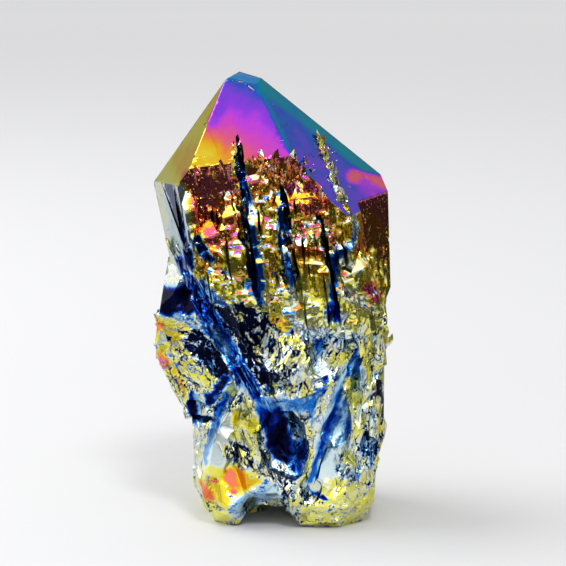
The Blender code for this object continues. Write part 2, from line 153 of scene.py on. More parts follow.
# Film on the rest of the front. Each patch runs between two pixels of the photograph:
# (x, y, x, y, radius in mm, film, strength, how calm the surface is, share of black patches),
# where the last two are 0 if they are left out. Black patches and films near 0 are painted shade
# and dark reflection.
FRONT_ZONES = {
    "maroon": (190, 190, 210, 232, 2.6, 0.705, 0.9, 0.8, 0.05),
    "left_plate": (185, 180, 189, 225, 0.6, 0.74, 0.8),
    "column_b": (231, 210, 231, 232, 1.6, 0.665, 0.9, 0.5),
    "column_b_low": (232, 250, 236, 258, 1.4, 0.53, 0.9),
    "column_e": (264, 214, 268, 250, 1.5, 0.575, 0.9),
    "column_g": (265, 190, 275, 203, 1.2, 0.63, 0.9),
    "block": (285, 197, 325, 207, 1.5, 0.69, 0.95, 0.8),
    "block_low": (288, 212, 300, 222, 1.2, 0.59, 0.9, 0, 0.1),
    "shards": (258, 165, 305, 180, 1.3, 0.66, 0.9, 0, 0.2),
    "shard_rim": (284, 190, 316, 187, 0.5, 0.75, 0.9),
    "orange_block": (293, 248, 318, 252, 1, 0.665, 0.95),
    "gold_column": (295, 262, 318, 270, 1.4, 0.6, 0.95, 0.6),
    "gold_low": (296, 280, 316, 300, 1.7, 0.545, 0.95, 0.75, 0.05),
    "right_dark": (340, 212, 350, 236, 1.6, 0.58, 0.9, 0, 0.1),
    "right_column": (365, 225, 382, 250, 2.2, 0.655, 0.9, 0.75, 0.05),
    "right_olive": (365, 265, 385, 290, 2, 0.565, 0.9, 0.5, 0.1),
    "right_lemon": (362, 305, 380, 330, 2.2, 0.49, 0.9, 0, 0.2),
    "right_lime": (372, 345, 376, 380, 1.7, 0.465, 0.9, 0, 0.3),
    # Partly painted highlight: a pale film where a facet turned to the lamps shines white.
    "white_facet_highlight": (343, 262, 355, 266, 1.2, 0.42, 0.95, 1),
    "grey_plate": (340, 277, 352, 284, 0.8, 0.5, 0.9),
    "magenta_chip": (368, 286, 376, 296, 0.7, 0.74, 0.9),
    "pale_chips": (340, 292, 362, 300, 0.9, 0.4, 0.8, 0, 0.2),
    "olive_plates": (245, 292, 250, 314, 1.3, 0.49, 0.9),
    "channel_a": (241, 166, 250, 212, 0.6, 0.155, 0.95, 0.4),
    "channel_b": (249, 212, 262, 285, 0.7, 0.16, 0.95, 0.4),
    "channel_c": (252, 265, 260, 300, 0.6, 0.165, 0.9, 0.4),
    "channel_d": (281, 195, 284, 240, 0.55, 0.15, 0.95, 0.4),
    "channel_e": (283, 240, 290, 275, 0.6, 0.165, 0.95, 0.4),
    "channel_f": (290, 275, 294, 312, 0.5, 0.16, 0.9, 0.4),
    "azure_spot": (249, 213, 252, 220, 0.6, 0.25, 0.9),
    "right_chink": (355, 212, 355, 236, 0.35, 0.27, 0.9),
    "right_branch": (354, 240, 336, 256, 0.55, 0.18, 0.95, 0.4),
    "right_channel": (334, 256, 332, 318, 0.6, 0.16, 0.95, 0.4),
    "shard_low": (294, 222, 316, 238, 0.9, 0.42, 0.7, 0, 0.1),
    "shard_rose": (300, 222, 304, 230, 0.5, 0.745, 0.9),
    "tower": (237, 138, 240, 162, 1.0, 0.4, 0.9, 0, 0.55),
    "tower_flank": (232, 150, 236, 172, 0.5, 0.47, 0.8),
    "gash": (319, 144, 345, 198, 1.0, 0.48, 0.9, 0, 0.22),
    "fibre_edge": (190, 246, 214, 278, 0.6, 0.63, 0.9, 0, 0.2),
    "fibre_edge_low": (214, 278, 232, 306, 1, 0.53, 0.9, 0, 0.15),
    # Painted shade: a corner painted near black.
    "dark_corner": (196, 240, 209, 257, 0.7, 0.04, 0.95, 0.5),
    "strip": (176, 195, 184, 262, 1.8, 0.35, 0.9, 1),
    # Painted shade: a crack painted near black.
    "strip_crack": (167, 180, 191, 264, 0.5, 0.04, 0.95, 1),
    "silver_mid": (300, 322, 326, 345, 1.9, 0.32, 0.85, 0, 0.25),
    "pale_mid": (292, 297, 312, 316, 1.6, 0.47, 0.85, 0, 0.15),
    # Partly painted highlight: a pale film where a chip turned to the lamps shines white.
    "white_chip_highlight": (341, 328, 348, 335, 0.8, 0.40, 0.95, 0.3),
    "brown_mid": (270, 318, 284, 326, 1, 0.6, 0.8, 0, 0.3),
    "black_mid": (236, 323, 266, 362, 3.2, 0.45, 0.8, 0, 0.68),
    "gold_rim": (272, 340, 268, 352, 0.6, 0.55, 0.8, 0, 0.2),
    "lobe_silver": (163, 286, 180, 268, 1.9, 0.39, 0.95, 1),
    # Painted dark reflection: a facet painted near black.
    "lobe_dark": (168, 303, 192, 299, 1.9, 0.0, 0.97, 1),
    "lobe_rose": (156, 322, 161, 330, 0.9, 0.69, 0.95),
    "lobe_rose_low": (157, 352, 165, 366, 0.9, 0.74, 0.95),
    "lobe_yellow": (161, 340, 186, 338, 1.4, 0.54, 0.95, 0.5, 0.4),
    "lobe_lemon": (184, 366, 196, 372, 1.3, 0.53, 0.95, 0.4, 0.36),
    "lobe_orange": (173, 374, 178, 392, 1.1, 0.59, 0.9, 0, 0.3),
    "feather": (177, 316, 202, 329, 0.6, 0.29, 0.95, 0.6),
    "slivers_left": (196, 342, 220, 362, 1.8, 0.3, 0.85, 0, 0.66),
    "fibres_top": (182, 262, 192, 286, 0.9, 0.16, 0.97, 0.7),
    "fibres": (194, 290, 214, 325, 1.4, 0.165, 0.97, 0.7),
    "fibres_mid": (214, 325, 230, 350, 1.2, 0.175, 0.97, 0.7),
    "fibres_low": (230, 350, 252, 388, 1.3, 0.21, 0.97, 0.7),
    "azure_rim": (202, 284, 222, 305, 0.7, 0.26, 0.95, 0.7),
    "azure_line": (212, 324, 228, 354, 0.35, 0.29, 0.9, 0.7),
    # Painted shade: the lens and the sliver below are painted near black.
    "lens": (226, 378, 208, 402, 0.55, 0.03, 0.97, 0.8),
    "dark_sliver": (192, 394, 193, 420, 0.45, 0.06, 0.95, 0.3),
    "azure_sliver": (198, 394, 199, 424, 0.5, 0.27, 0.9, 0.3),
    "silver_ridge": (237, 399, 214, 462, 1.8, 0.37, 0.97, 1),
    "ridge_blue": (227, 396, 212, 430, 0.45, 0.22, 0.97, 1),
    "ridge_blue_low": (214, 430, 201, 466, 0.45, 0.24, 0.95, 1),
    "pale_left": (199, 430, 196, 490, 0.9, 0.42, 0.9, 0.5, 0.05),
    "spotted": (240, 405, 262, 452, 1.8, 0.46, 0.85, 0, 0.25),
    "lemon_a": (238, 417, 252, 426, 0.9, 0.54, 0.97, 0.4),
    "lemon_b": (236, 437, 248, 443, 0.7, 0.54, 0.97, 0.4),
    "squiggle": (232, 452, 270, 462, 1.2, 0.46, 0.9, 0, 0.5),
    # Painted shade: the deep pocket is painted near black.
    "pocket": (272, 415, 282, 450, 1.6, 0.015, 0.97, 0.5),
    "pocket_blue": (265, 410, 274, 424, 1.2, 0.1, 0.95, 0.4),
    "under_pocket": (264, 470, 288, 474, 1, 0.38, 0.9, 0, 0.35),
    "pocket_side": (300, 448, 296, 470, 0.9, 0.22, 0.95, 0.3, 0.3),
    "azure": (264, 402, 306, 405, 1, 0.245, 0.95, 0.6),
    "azure_bend": (324, 380, 314, 402, 0.7, 0.17, 0.95, 0.6),
    "azure_wall": (312, 404, 316, 425, 0.8, 0.21, 0.9, 0.4),
    "dome": (274, 358, 304, 368, 2.2, 0.41, 0.85, 0.1, 0.48),
    # Partly painted highlight: a pale film along a ridge turned to the lamps, which shines white.
    "white_ridge_highlight": (297, 379, 324, 371, 0.8, 0.405, 0.97, 0.3),
    "lemon_ridge": (302, 387, 321, 383, 0.5, 0.44, 0.9, 0.3, 0.1),
    "olive_band": (276, 388, 304, 386, 0.6, 0.5, 0.9, 0, 0.4),
    "pale_strip": (322, 398, 318, 440, 0.7, 0.42, 0.9, 0.3, 0.1),
    "groove_azure": (352, 372, 326, 450, 1.7, 0.285, 0.97, 0.95),
    "groove_silver": (334, 440, 322, 478, 1.5, 0.35, 0.95, 1),
    "groove_top": (349, 370, 340, 392, 0.35, 0.22, 0.95, 0.9),
    "groove_mid": (340, 392, 327, 432, 0.32, 0.165, 0.98, 0.9),
    "groove_low": (327, 432, 316, 460, 0.34, 0.165, 0.98, 0.9),
    "groove_end": (316, 460, 309, 486, 0.4, 0.19, 0.95, 0.9),
    "green_grey": (352, 385, 358, 418, 1.2, 0.47, 0.85, 0, 0.25),
    "dark_patch": (362, 408, 370, 416, 0.8, 0.36, 0.8, 0, 0.4),
    "edge_dark": (379, 385, 384, 412, 0.9, 0.5, 0.8, 0.2, 0.6),
    "edge_yellow": (384, 422, 385, 452, 0.8, 0.54, 0.9, 0, 0.2),
    "pit": (366, 446, 378, 440, 0.9, 0.38, 0.9, 0, 0.42),
    "grey_patch": (342, 470, 355, 480, 0.8, 0.33, 0.85, 0, 0.3),
    "right_lemon_low": (335, 490, 368, 500, 1.8, 0.475, 0.9, 0.3, 0.12),
    "sill": (305, 506, 360, 516, 1, 0.47, 0.9, 0.4, 0.15),
    # Painted shade: a slit painted near black.
    "slit": (307, 490, 325, 499, 0.3, 0.03, 0.95, 0.5),
    "knobs": (278, 475, 302, 496, 1.4, 0.38, 0.85, 0, 0.4),
    "foot_gold": (234, 478, 250, 487, 1.5, 0.595, 0.95, 1),
    "foot_rose": (226, 474, 233, 484, 0.8, 0.69, 0.95, 1),
    "foot_green": (211, 470, 219, 472, 0.8, 0.52, 0.95, 1),
    "foot_spot": (213, 480, 218, 484, 0.35, 0.8, 0.95, 1),
    "foot_oval": (203, 489, 209, 497, 0.8, 0.68, 0.95, 1),
    "foot_flame": (219, 487, 224, 504, 0.8, 0.55, 0.95, 1),
    "foot_magenta": (235, 494, 240, 495, 0.3, 0.76, 0.95, 1),
    "foot_sole": (205, 512, 225, 515, 1, 0.48, 0.9, 0.8),
    "underside": (240, 508, 268, 492, 1.6, 0.32, 0.95, 0.6, 0.25),
}
# Painted shade: how much darker the bevel, the end faces and the high sides are painted. On the
# high sides it stands for the dark room that they mirror, and on the bevel it covers the key
# lamp's highlight.
BEVEL_PAINTED_SHADE = 1.6
END_PAINTED_SHADE = 0.5
PRISM_PAINTED_SHADE = 0.8
FIBROUS = ("fibres_top", "fibres", "fibres_mid", "fibres_low", "azure_rim", "feather")
# The usual share of near-black patches, painted dark reflection on the rock.
BLACK_PATCHES = 0.24

# Small crystals: (side, count, along, heights of their tops, half widths).
SMALL_CRYSTALS = (
    (0, 42, (-10.5, 12.5), (31.0, 52.0), (0.45, 1.1)),
    (0, 170, (-10.5, 12.5), (29.0, 53.5), (0.16, 0.42)),
    (1, 20, (-5.0, 6.0), (27.0, 43.0), (0.5, 1.2)),
    (1, 60, (-5.0, 6.0), (25.0, 43.0), (0.16, 0.42)),
    (2, 40, (-7.0, 7.0), (24.0, 45.0), (0.3, 1.2)),
    (3, 44, (-7.0, 7.0), (22.0, 43.0), (0.3, 1.2)),
    (4, 36, (-6.0, 6.0), (26.0, 43.0), (0.3, 1.1)),
    (5, 20, (-6.0, 2.0), (36.0, 43.0), (0.2, 0.5)),
)
# Crystals that stand out on the front: (x, height, half width, proud, length).
FRONT_CRYSTALS = (
    (11.0, 39.2, 1.5, 1.0, 5.0),
    (5.3, 43.6, 1.2, 0.9, 3.5),
    (3.9, 42.0, 0.8, 1.2, 3.0),
    (-8.7, 45.6, 0.9, 0.8, 4.0),
    (-5.5, 41.0, 1.0, 0.9, 4.2),
    (-2.5, 45.2, 0.9, 1.0, 4.5),
    (-7.9, 40.6, 0.9, 0.8, 3.0),
    (9.3, 43.0, 1.4, 0.5, 5.0),
    (0.1, 33.8, 0.9, 0.7, 3.0),
    (1.9, 40.4, 0.7, 0.9, 3.4),
    (13.1, 34.6, 0.9, 0.8, 3.0),
    (-3.7, 34.6, 1.4, 0.8, 4.4),
    (9.3, 50.3, 0.5, 0.3, 1.8),
    (8.5, 52.0, 0.4, 0.3, 1.6),
    (10.1, 48.7, 0.5, 0.3, 1.6),
    (7.6, 53.4, 0.3, 0.25, 1.4),
)
# How proud and how long small crystals are, as shares of their half widths, with a length in mm
# that is added, and how calm a place may be to carry one.
PROUD = (0.25, 0.75)
LENGTHS = (2.5, 6.0)
LEAST_LENGTH = 0.6
CALM_LIMIT = 0.7
# Their tops: depth and width of the ridge, then the rise and stray of the front and flank faces.
RIDGE_DEPTHS = (0.5, 1.3)
RIDGE_SHARE = 0.8
TOP_RISE = 40
TOP_STRAY = 12
FLANK_RISE = 38.2
FLANK_STRAY = 6
# Their front faces' stray and rises, their feet's rises, their corners as shares of the half
# width, how deep they are rooted, and how much larger the cube is that they are cut from.
FACE_TURN = 5
FACE_RISES = (-4, 2)
FOOT_RISES = (-30, -60)
CORNERS = (0.7, 1.0)
ROOT_DEPTH = 1.2
BLANK_MARGIN = 12

# Thin slots along the main crystal between them: (side, count, along, heights).
SLOTS = (
    (0, 18, (-10.0, 12.0), (31.0, 46.0)),
    (1, 12, (-5.0, 5.0), (28.0, 42.0)),
    (2, 12, (-6.0, 6.0), (24.0, 42.0)),
    (3, 12, (-6.0, 6.0), (22.0, 40.0)),
    (4, 10, (-5.0, 5.0), (26.0, 42.0)),
)
# A slot's outline, as (share of its reach, share of its width), and its sizes in mm.
SLOT_OUTLINE = ((-1.0, 0.2), (-0.4, 1.0), (0.5, 0.8), (1.0, 0.1))
SLOT_HALVES = (0.10, 0.30)
SLOT_DEPTHS = (0.5, 1.3)
SLOT_REACHES = (1.0, 4.0)
SLOT_SWAY = 0.2
SLOT_PROUD = 1.2
SLOT_FLOOR = (0.3, 0.7)

# Shards that lie over the front crystals: (count, sizes, pixel boxes of the photograph).
SHARDS = (
    (90, (0.3, 0.8), ((190, 325), (185, 310))),
    (36, (0.3, 0.8), ((325, 390), (215, 320))),
    (24, (0.5, 1.1), ((258, 308), (158, 184))),
    (14, (0.5, 0.9), ((293, 318), (220, 240))),
    (10, (0.3, 0.6), ((231, 240), (140, 170))),
)
# Rows of shards, as pixels of the photograph: (line, count, sizes). The first is the ragged lower
# border of the right-hand end face, and the second stands in the gash on that face.
SHARD_ROWS = (
    (((190, 172), (226, 168), (258, 160), (276, 172), (300, 190), (326, 196)), 60, (0.25, 0.7)),
    (((318, 140), (325, 156), (334, 174), (344, 202)), 60, (0.4, 0.95)),
)
# How far, in pixels, the shards of a row stray across and down, and the least share of it.
ROW_ACROSS = 4
ROW_DOWN = (-3, 5)
ROW_LEAST = 0.3
SHARD_STRAY = 0.25
SHARD_WIDTHS = (0.4, 0.8)
SHARD_THICK = 0.35
SHARD_LENGTHS = (1.2, 2.2)
SHARD_POINTS = 8

# Places of the photograph where a facet shines white: (x, y, half width, half height).
GLINTS = (
    (349, 264, 1.3, 0.8),
    (345, 331, 0.9, 0.6),
    (290, 344, 0.5, 0.4),
    (300, 252, 0.5, 0.4),
    (303, 378, 1.6, 0.5),
    (317, 374, 1.7, 0.8),
)
GLINT_RISE = 42
GLINT_THICK = 0.4
GLINT_POINTS = 9
# A thin raised line near the tip, as pixels of the photograph.
TIP_LINE = ((229, 81), (243, 82), (255, 91), (275, 106))
TIP_LINE_HALF = 0.09
TIP_LINE_RISE = 40
TIP_LINE_OVERLAP = 0.55
TIP_LINE_POINTS = 12

# Planes that trim the right-hand edge to the photograph's: x at y = 0, then (height, lean).
TRIM_AT = 15.5
TRIM_TURN = -0.05
TRIM_PLANES = ((25.0, 0.0), (28.0, 0.45), (21.5, -0.6))
# The cube that they cut, and the cube below the ground.
TRIM_CENTRE = Vector((29.5, 0, 25))
TRIM_SIZE = 30
GROUND_SIZE = 100

# Small bites out of sharp edges: the least height, length and angle (in radians) of an edge, the
# part of the tip that stays whole, and where the bites are smaller.
EDGE_CHIPS = 420
CHIP_SIZES = (0.16, 0.62)
CHIPPED_FROM = 27
CHIPPED_LENGTH = 0.3
CHIPPED_ANGLE = 0.6
WHOLE_TIP = (54.5, 9)
FINE_CHIPS_FROM = 45
FINE_CHIP_SHARE = 0.6
CHIP_PROUD = 0.5
CHIP_LENGTHS = (1, 2)
CHIP_POINTS = 9

# Directions that the broken rock splits along, as lines between two pixels of the photograph:
# (x, y, x, y, radius in mm).
GRAINS = {
    "lobe_top": (150, 300, 204, 331, 3.5),
    "lobe_low": (156, 335, 196, 372, 3.0),
    "lobe_foot": (166, 374, 178, 400, 3.0),
    "band_top": (185, 262, 212, 318, 4.0),
    "band": (212, 318, 250, 388, 4.5),
    "middle": (300, 330, 286, 375, 4.0),
    "left_edge": (192, 394, 194, 470, 2.5),
    "ridge": (229, 392, 201, 470, 3.5),
    "pocket": (246, 400, 266, 466, 3.0),
    "groove": (358, 350, 309, 486, 3.5),
    "right_edge": (378, 350, 380, 460, 2.5),
    "foot": (212, 500, 260, 476, 2.5),
    "sill": (330, 512, 360, 490, 2.5),
}
# The grain elsewhere, and how strongly a line draws it and how fast that fades.
MAIN_GRAIN = Vector((0.12, 0, 1.0))
GRAIN_DEPTH = 2
GRAIN_PULL = 4
GRAIN_FADE = 2
GRAIN_STRAY = 0.3


class Chips(NamedTuple):
    """Stones of one kind over the rock. The ranges are shares of a stone's own size."""

    name: str
    count: int
    points: int
    least: float
    spread: float
    thick: tuple
    long: tuple
    proud: tuple


SCARS = Chips("scar", 640, 12, 0.25, 1.3, (0.45, 0.8), (1.3, 3.2), (0.25, 0.7))
SPLINTERS = Chips("splinter", 420, 10, 0.18, 0.55, (0.6, 0.9), (1.3, 2.8), (-0.45, -0.8))
SHELLS = 50
SHELL_SIZES = (1.6, 3.6)
SHELL_THICK = 0.6
SHELL_LENGTHS = (1.0, 1.6)
SHELL_DEPTHS = (0.25, 0.55)
SHELL_POINTS = 110
# The share of them on the front and its spread of azimuths, how far they lie from the axis, their
# heights, the corner of the front that they leave to the crystals as (x, height), and where the
# rays towards them start.
ROCK_ON_FRONT = 0.45
ROCK_SPREAD = 75
ROCK_ACROSS = 8
ROCK_HEIGHTS = (1.2, 33.0)
CRYSTAL_CORNER = (-9, 31)
ROCK_RAY = 60
# A zone's calm reaches past its radius, and keeps off as large a share of the stones.
ZONE_REACH = 1.1
CALM_WEIGHT = 1.05

# The band of fibres that crosses the front from the upper left: its line as (x, height), and each
# fibre's stray and half width. Thickness, length and depth are shares of the half width.
FIBRES = 70
FIBRE_BAND = ((-12.7, 38.6), (-7.3, 28.4), (-2.3, 17.4))
FIBRE_WIDTH = 1.9
FIBRE_STRAY = 0.07
FIBRE_HALVES = (0.14, 0.4)
FIBRE_THICK = 1.1
FIBRE_LENGTHS = (6, 14)
FIBRE_SUNK = 0.3
FIBRE_POINTS = 12

# The strays of a stone's points: turn in radians and growth.
POINT_TURN = 0.5
POINT_GROWTH = (0.75, 1.1)
# Where the other rays start, in front of the stone or out from the main crystal's axis.
RAY_START = 40

# What counts as flush with an end face, what is welded or dissolved, the rounds of splitting, and
# the longest edges of the mesh in front of a depth and behind it.
FLUSH = 0.32
FLUSH_FACING = 0.999
WELD = 0.002
SLIVER = 0.003
SPLITS = 8
FRONT_DEPTH = -1.0
FRONT_EDGE = 0.8
BACK_EDGE = 2.0
SHARP_ANGLE = 20
SEED = 41
GLINT_SEED = 7


class Zone(NamedTuple):
    """A strip of the front view between two places, in mm, and what holds on it."""

    x: float
    z: float
    to_x: float
    to_z: float
    radius: float
    film: float = 0.0
    strength: float = 0.0
    calm: float = 0.0
    black: float = 0.0


def facing(azimuth, rise=0.0):
    """Outward unit normal. Azimuth 0 faces the front and 90 the right; rise is above level."""
    turn = math.radians(azimuth)
    tilt = math.radians(rise)
    level = math.cos(tilt)
    return Vector((math.sin(turn) * level, -math.cos(turn) * level, math.sin(tilt)))


CRYSTAL = Matrix.Translation(AXIS_FOOT) @ Matrix.Rotation(-math.radians(LEAN), 4, "Y")
CRYSTAL_TIP = CRYSTAL @ Vector((0, 0, APEX))
CRYSTAL_UP = np.array(CRYSTAL.to_3x3() @ Vector((0, 0, 1)))


def object_of(bm, name):
    """A new object with the faces of the bmesh, which is then freed."""
    mesh = bpy.data.meshes.new(name)
    bm.to_mesh(mesh)
    bm.free()
    return bpy.data.objects.new(name, mesh)


def closed_object(bm, name):
    """The same for a closed surface, in triangles that face outward."""
    bmesh.ops.triangulate(bm, faces=bm.faces[:])
    bmesh.ops.recalc_face_normals(bm, faces=bm.faces[:])
    return object_of(bm, name)


@contextmanager
def editing(ob):
    """The object's mesh as a bmesh, written back at the end."""
    bm = bmesh.new()
    bm.from_mesh(ob.data)
    yield bm
    bm.to_mesh(ob.data)
    bm.free()


def hull_object(name, points):
    """The convex hull of some points, as a closed mesh."""
    bm = bmesh.new()
    for p in points:
        bm.verts.new(p)
    made = bmesh.ops.convex_hull(bm, input=bm.verts[:])
    loose = [g for g in made["geom_interior"] if isinstance(g, bmesh.types.BMVert)]
    loose += [v for v in bm.verts if not v.link_faces]
    bmesh.ops.delete(bm, geom=list(dict.fromkeys(loose)), context="VERTS")
    return closed_object(bm, name)


def cut_object(name, planes, centre, size, matrix=Matrix.Identity(4)):
    """A cube cut by planes given as (point, outward normal)."""
    bm = bmesh.new()
    bmesh.ops.create_cube(bm, size=size, matrix=Matrix.Translation(centre))
    for point, normal in planes:
        cut = bmesh.ops.bisect_plane(
            bm,
            geom=bm.verts[:] + bm.edges[:] + bm.faces[:],
            plane_co=point,
            plane_no=normal,
            clear_outer=True,
        )
        rim = [e for e in cut["geom_cut"] if isinstance(e, bmesh.types.BMEdge)]
        if rim:
            bmesh.ops.holes_fill(bm, edges=rim)
    bmesh.ops.transform(bm, matrix=matrix, verts=bm.verts[:])
    return closed_object(bm, name)


def boolean(ob, others, operation):
    """Join the others to the object, or cut them from it, and keep the plain result."""
    group = bpy.data.collections.new(operation)
    bpy.context.scene.collection.children.link(group)
    for other in others:
        group.objects.link(other)
    modifier = ob.modifiers.new(operation, "BOOLEAN")
    modifier.operation = operation
    modifier.operand_type = "COLLECTION"
    modifier.collection = group
    modifier.solver = "MANIFOLD"
    graph = bpy.context.evaluated_depsgraph_get()
    result = bpy.data.meshes.new_from_object(ob.evaluated_get(graph))
    ob.modifiers.clear()
    ob.data = result
    for other in list(group.objects):
        bpy.data.meshes.remove(other.data)
    bpy.data.collections.remove(group)


def stone_from_frame():
    """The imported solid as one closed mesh, in millimetres."""
    bm = bmesh.new()
    bm.from_mesh(frame["nodes"][NODE].data)
    bmesh.ops.remove_doubles(bm, verts=bm.verts[:], dist=1e-6)
    bmesh.ops.scale(bm, vec=(1 / MM,) * 3, verts=bm.verts[:])
    ob = object_of(bm, "aura_quartz")
    bpy.context.scene.collection.objects.link(ob)
    return ob


def tree_of(ob):
    """The object's mesh, ready for ray casts."""
    verts = [v.co for v in ob.data.vertices]
    faces = [tuple(p.vertices) for p in ob.data.polygons]
    return BVHTree.FromPolygons(verts, faces)


def side_of(side):
    """The azimuth of one side of the main crystal, and its outward and right-hand directions."""
    azimuth = FIRST_FACE + side * SIDE_ANGLE
    return azimuth, facing(azimuth), facing(azimuth + 90)


def strike(tree, side, along, height):
    """Where a ray towards the main crystal's axis meets its side, in the crystal's own frame."""
    _, out, right = side_of(side)
    start = out * RAY_START + right * along + Vector((0, 0, height))
    hit = tree.ray_cast(CRYSTAL @ start, CRYSTAL.to_3x3() @ -out)[0]
    if hit is None:
        return None
    return CRYSTAL.inverted() @ hit


def front_hit(tree, x, z):
    """Where a level ray from the front meets the stone, and the surface's normal there."""
    hit, normal, _, _ = tree.ray_cast(Vector((x, -RAY_START, z)), Vector((0, 1, 0)))
    return hit, normal


def small_crystal(name, side, spot, half, proud, length, draw):
    """A crystal parallel to the main one, standing a little proud of one of its sides."""
    azimuth, out, right = side_of(side)
    face = spot + out * proud
    ridge = face - out * half * draw.uniform(*RIDGE_DEPTHS)
    turn = draw.uniform(-TOP_STRAY, TOP_STRAY)
    planes = [
        (face, facing(azimuth + draw.uniform(-FACE_TURN, FACE_TURN), draw.uniform(*FACE_RISES))),
        (face - out * (half * 2 + ROOT_DEPTH), -out),
        (ridge, facing(azimuth + turn, TOP_RISE + draw.uniform(-TOP_STRAY, TOP_STRAY))),
        (ridge, facing(azimuth + 180, FLANK_RISE)),
        (face - Vector((0, 0, length)), facing(azimuth, draw.uniform(*FOOT_RISES))),
    ]
    for hand in (-1, 1):
        corner = face + right * hand * half * draw.uniform(*CORNERS)
        planes.append((corner, facing(azimuth + hand * SIDE_ANGLE)))
        planes.append((corner + (right * hand - out * 2) * half / 2,
                       facing(azimuth + 2 * hand * SIDE_ANGLE)))
        top = ridge + right * hand * half * draw.uniform(0.0, RIDGE_SHARE)
        rise = FLANK_RISE + draw.uniform(-FLANK_STRAY, FLANK_STRAY)
        planes.append((top, facing(azimuth + hand * SIDE_ANGLE, rise)))
    return cut_object(name, planes, spot, length * 2 + BLANK_MARGIN, CRYSTAL)


def small_crystals(tree, zones, draw):
    """The crystals over the main one's sides, and those that stand out on the front."""
    made = []
    for row, (side, count, along, heights, halves) in enumerate(SMALL_CRYSTALS):
        for number in range(count):
            spot = strike(tree, side, draw.uniform(*along), draw.uniform(*heights))
            half = draw.uniform(*halves)
            proud = half * draw.uniform(*PROUD)
            length = half * draw.uniform(*LENGTHS) + LEAST_LENGTH
            if spot is None or calm_at(CRYSTAL @ spot, zones) > CALM_LIMIT:
                continue
            name = f"small_{row}_{number}"
            made.append(small_crystal(name, side, spot, half, proud, length, draw))
    for number, (x, height, half, proud, length) in enumerate(FRONT_CRYSTALS):
        spot = CRYSTAL.inverted() @ front_hit(tree, x, height)[0]
        made.append(small_crystal(f"front_{number}", 0, spot, half, proud, length, draw))
    return made


def slots(tree, draw):
    """Thin gaps between the crystals on the sides."""
    made = []
    for side, count, along, heights in SLOTS:
        _, out, right = side_of(side)
        for number in range(count):
            spot = strike(tree, side, draw.uniform(*along), draw.uniform(*heights))
            half = draw.uniform(*SLOT_HALVES)
            depth = draw.uniform(*SLOT_DEPTHS)
            reach = draw.uniform(*SLOT_REACHES)
            if spot is None:
                continue
            points = []
            for level, wide in SLOT_OUTLINE:
                z = Vector((0, 0, level * reach))
                sway = right * draw.uniform(-SLOT_SWAY, SLOT_SWAY)
                for hand in (-1, 1):
                    points.append(spot + z + sway + right * hand * half * wide + out * SLOT_PROUD)
                points.append(spot + z + sway - out * depth * (SLOT_FLOOR[0] + wide * SLOT_FLOOR[1]))
            made.append(hull_object(f"slot_{side}_{number}", [CRYSTAL @ p for p in points]))
    return made


def near_line(x, z, line):
    """Distance in the front view from a place to a line's first four numbers."""
    ax, az, bx, bz = line[:4]
    t = ((x - ax) * (bx - ax) + (z - az) * (bz - az)) / ((bx - ax) ** 2 + (bz - az) ** 2)
    t = np.clip(t, 0, 1)
    return np.hypot(x - ax - t * (bx - ax), z - az - t * (bz - az))


def photo_ray(px, py):
    """Where the photograph's ray through a pixel starts, and its direction."""
    across = ((px - PHOTO_SIZE / 2) / PHOTO_SIZE + SHIFT[0]) * SENSOR
    up = ((PHOTO_SIZE / 2 - py) / PHOTO_SIZE + SHIFT[1]) * SENSOR
    back = facing(0, CAMERA_RISE)
    over = facing(0, CAMERA_RISE + 90)
    way = Vector((across, 0, 0)) + over * up - back * LENS
    return CAMERA_AIM + back * CAMERA_AWAY, way.normalized()


def seen_at(tree, px, py):
    """The place on the stone behind a pixel of the photograph, and the surface's normal there."""
    start, way = photo_ray(px, py)
    hit, normal, _, _ = tree.ray_cast(start, way)
    if hit is None:
        hit = start + way * (-start.y / way.y)
        normal = -way
    return hit, normal


def placed(tree, rows):
    """Rows that start with two pixels of the photograph, with those moved onto the stone."""
    made = {}
    for name, (ax, ay, bx, by, *rest) in rows.items():
        a = seen_at(tree, ax, ay)[0]
        b = seen_at(tree, bx, by)[0]
        made[name] = Zone(a.x, a.z, b.x, b.z, *rest)
    return made


def calm_at(place, zones):
    """How smooth the stone is meant to be at a place, from 0 to 1."""
    if place.y > 0:
        return 0.0
    calm = 0.0
    for zone in zones.values():
        if near_line(place.x, place.z, zone) < zone.radius * ZONE_REACH:
            calm = zone.calm
    return calm


def grain_at(place, grains):
    """The direction that the rock splits along near a place."""
    flow = MAIN_GRAIN.copy()
    if place.y < GRAIN_DEPTH:
        for line in grains.values():
            near = near_line(place.x, place.z, line)
            pull = GRAIN_PULL * math.exp(-GRAIN_FADE * (near / line.radius) ** 2)
            flow += Vector((line.x - line.to_x, 0, line.z - line.to_z)).normalized() * pull
    return flow.normalized()


def golden_turn(step):
    """The turn of one of the points that a spiral spreads evenly over a sphere."""
    return step * math.pi * (3 - math.sqrt(5))


def pebble(name, centre, along, out, sizes, count, draw):
    """A faceted stone: the hull of points near an ellipsoid."""
    across = along.cross(out).normalized()
    out = across.cross(along).normalized()
    points = []
    for step in range(count):
        level = 1 - (2 * step + 1) / count
        turn = golden_turn(step) + draw.uniform(-POINT_TURN, POINT_TURN)
        ring = math.sqrt(1 - level * level)
        grow = draw.uniform(*POINT_GROWTH)
        points.append(
            centre
            + across * (ring * math.cos(turn) * sizes[0] * grow)
            + out * (ring * math.sin(turn) * sizes[1] * grow)
            + along * (level * sizes[2] * grow)
        )
    return hull_object(name, points)


def jitter(size, draw):
    """A small random vector."""
    return Vector([draw.uniform(-size, size) for _ in range(3)])


def square_to(along, normal):
    """The direction nearest to the normal that is square to a stone's length."""
    return (normal - along * normal.dot(along)).normalized()


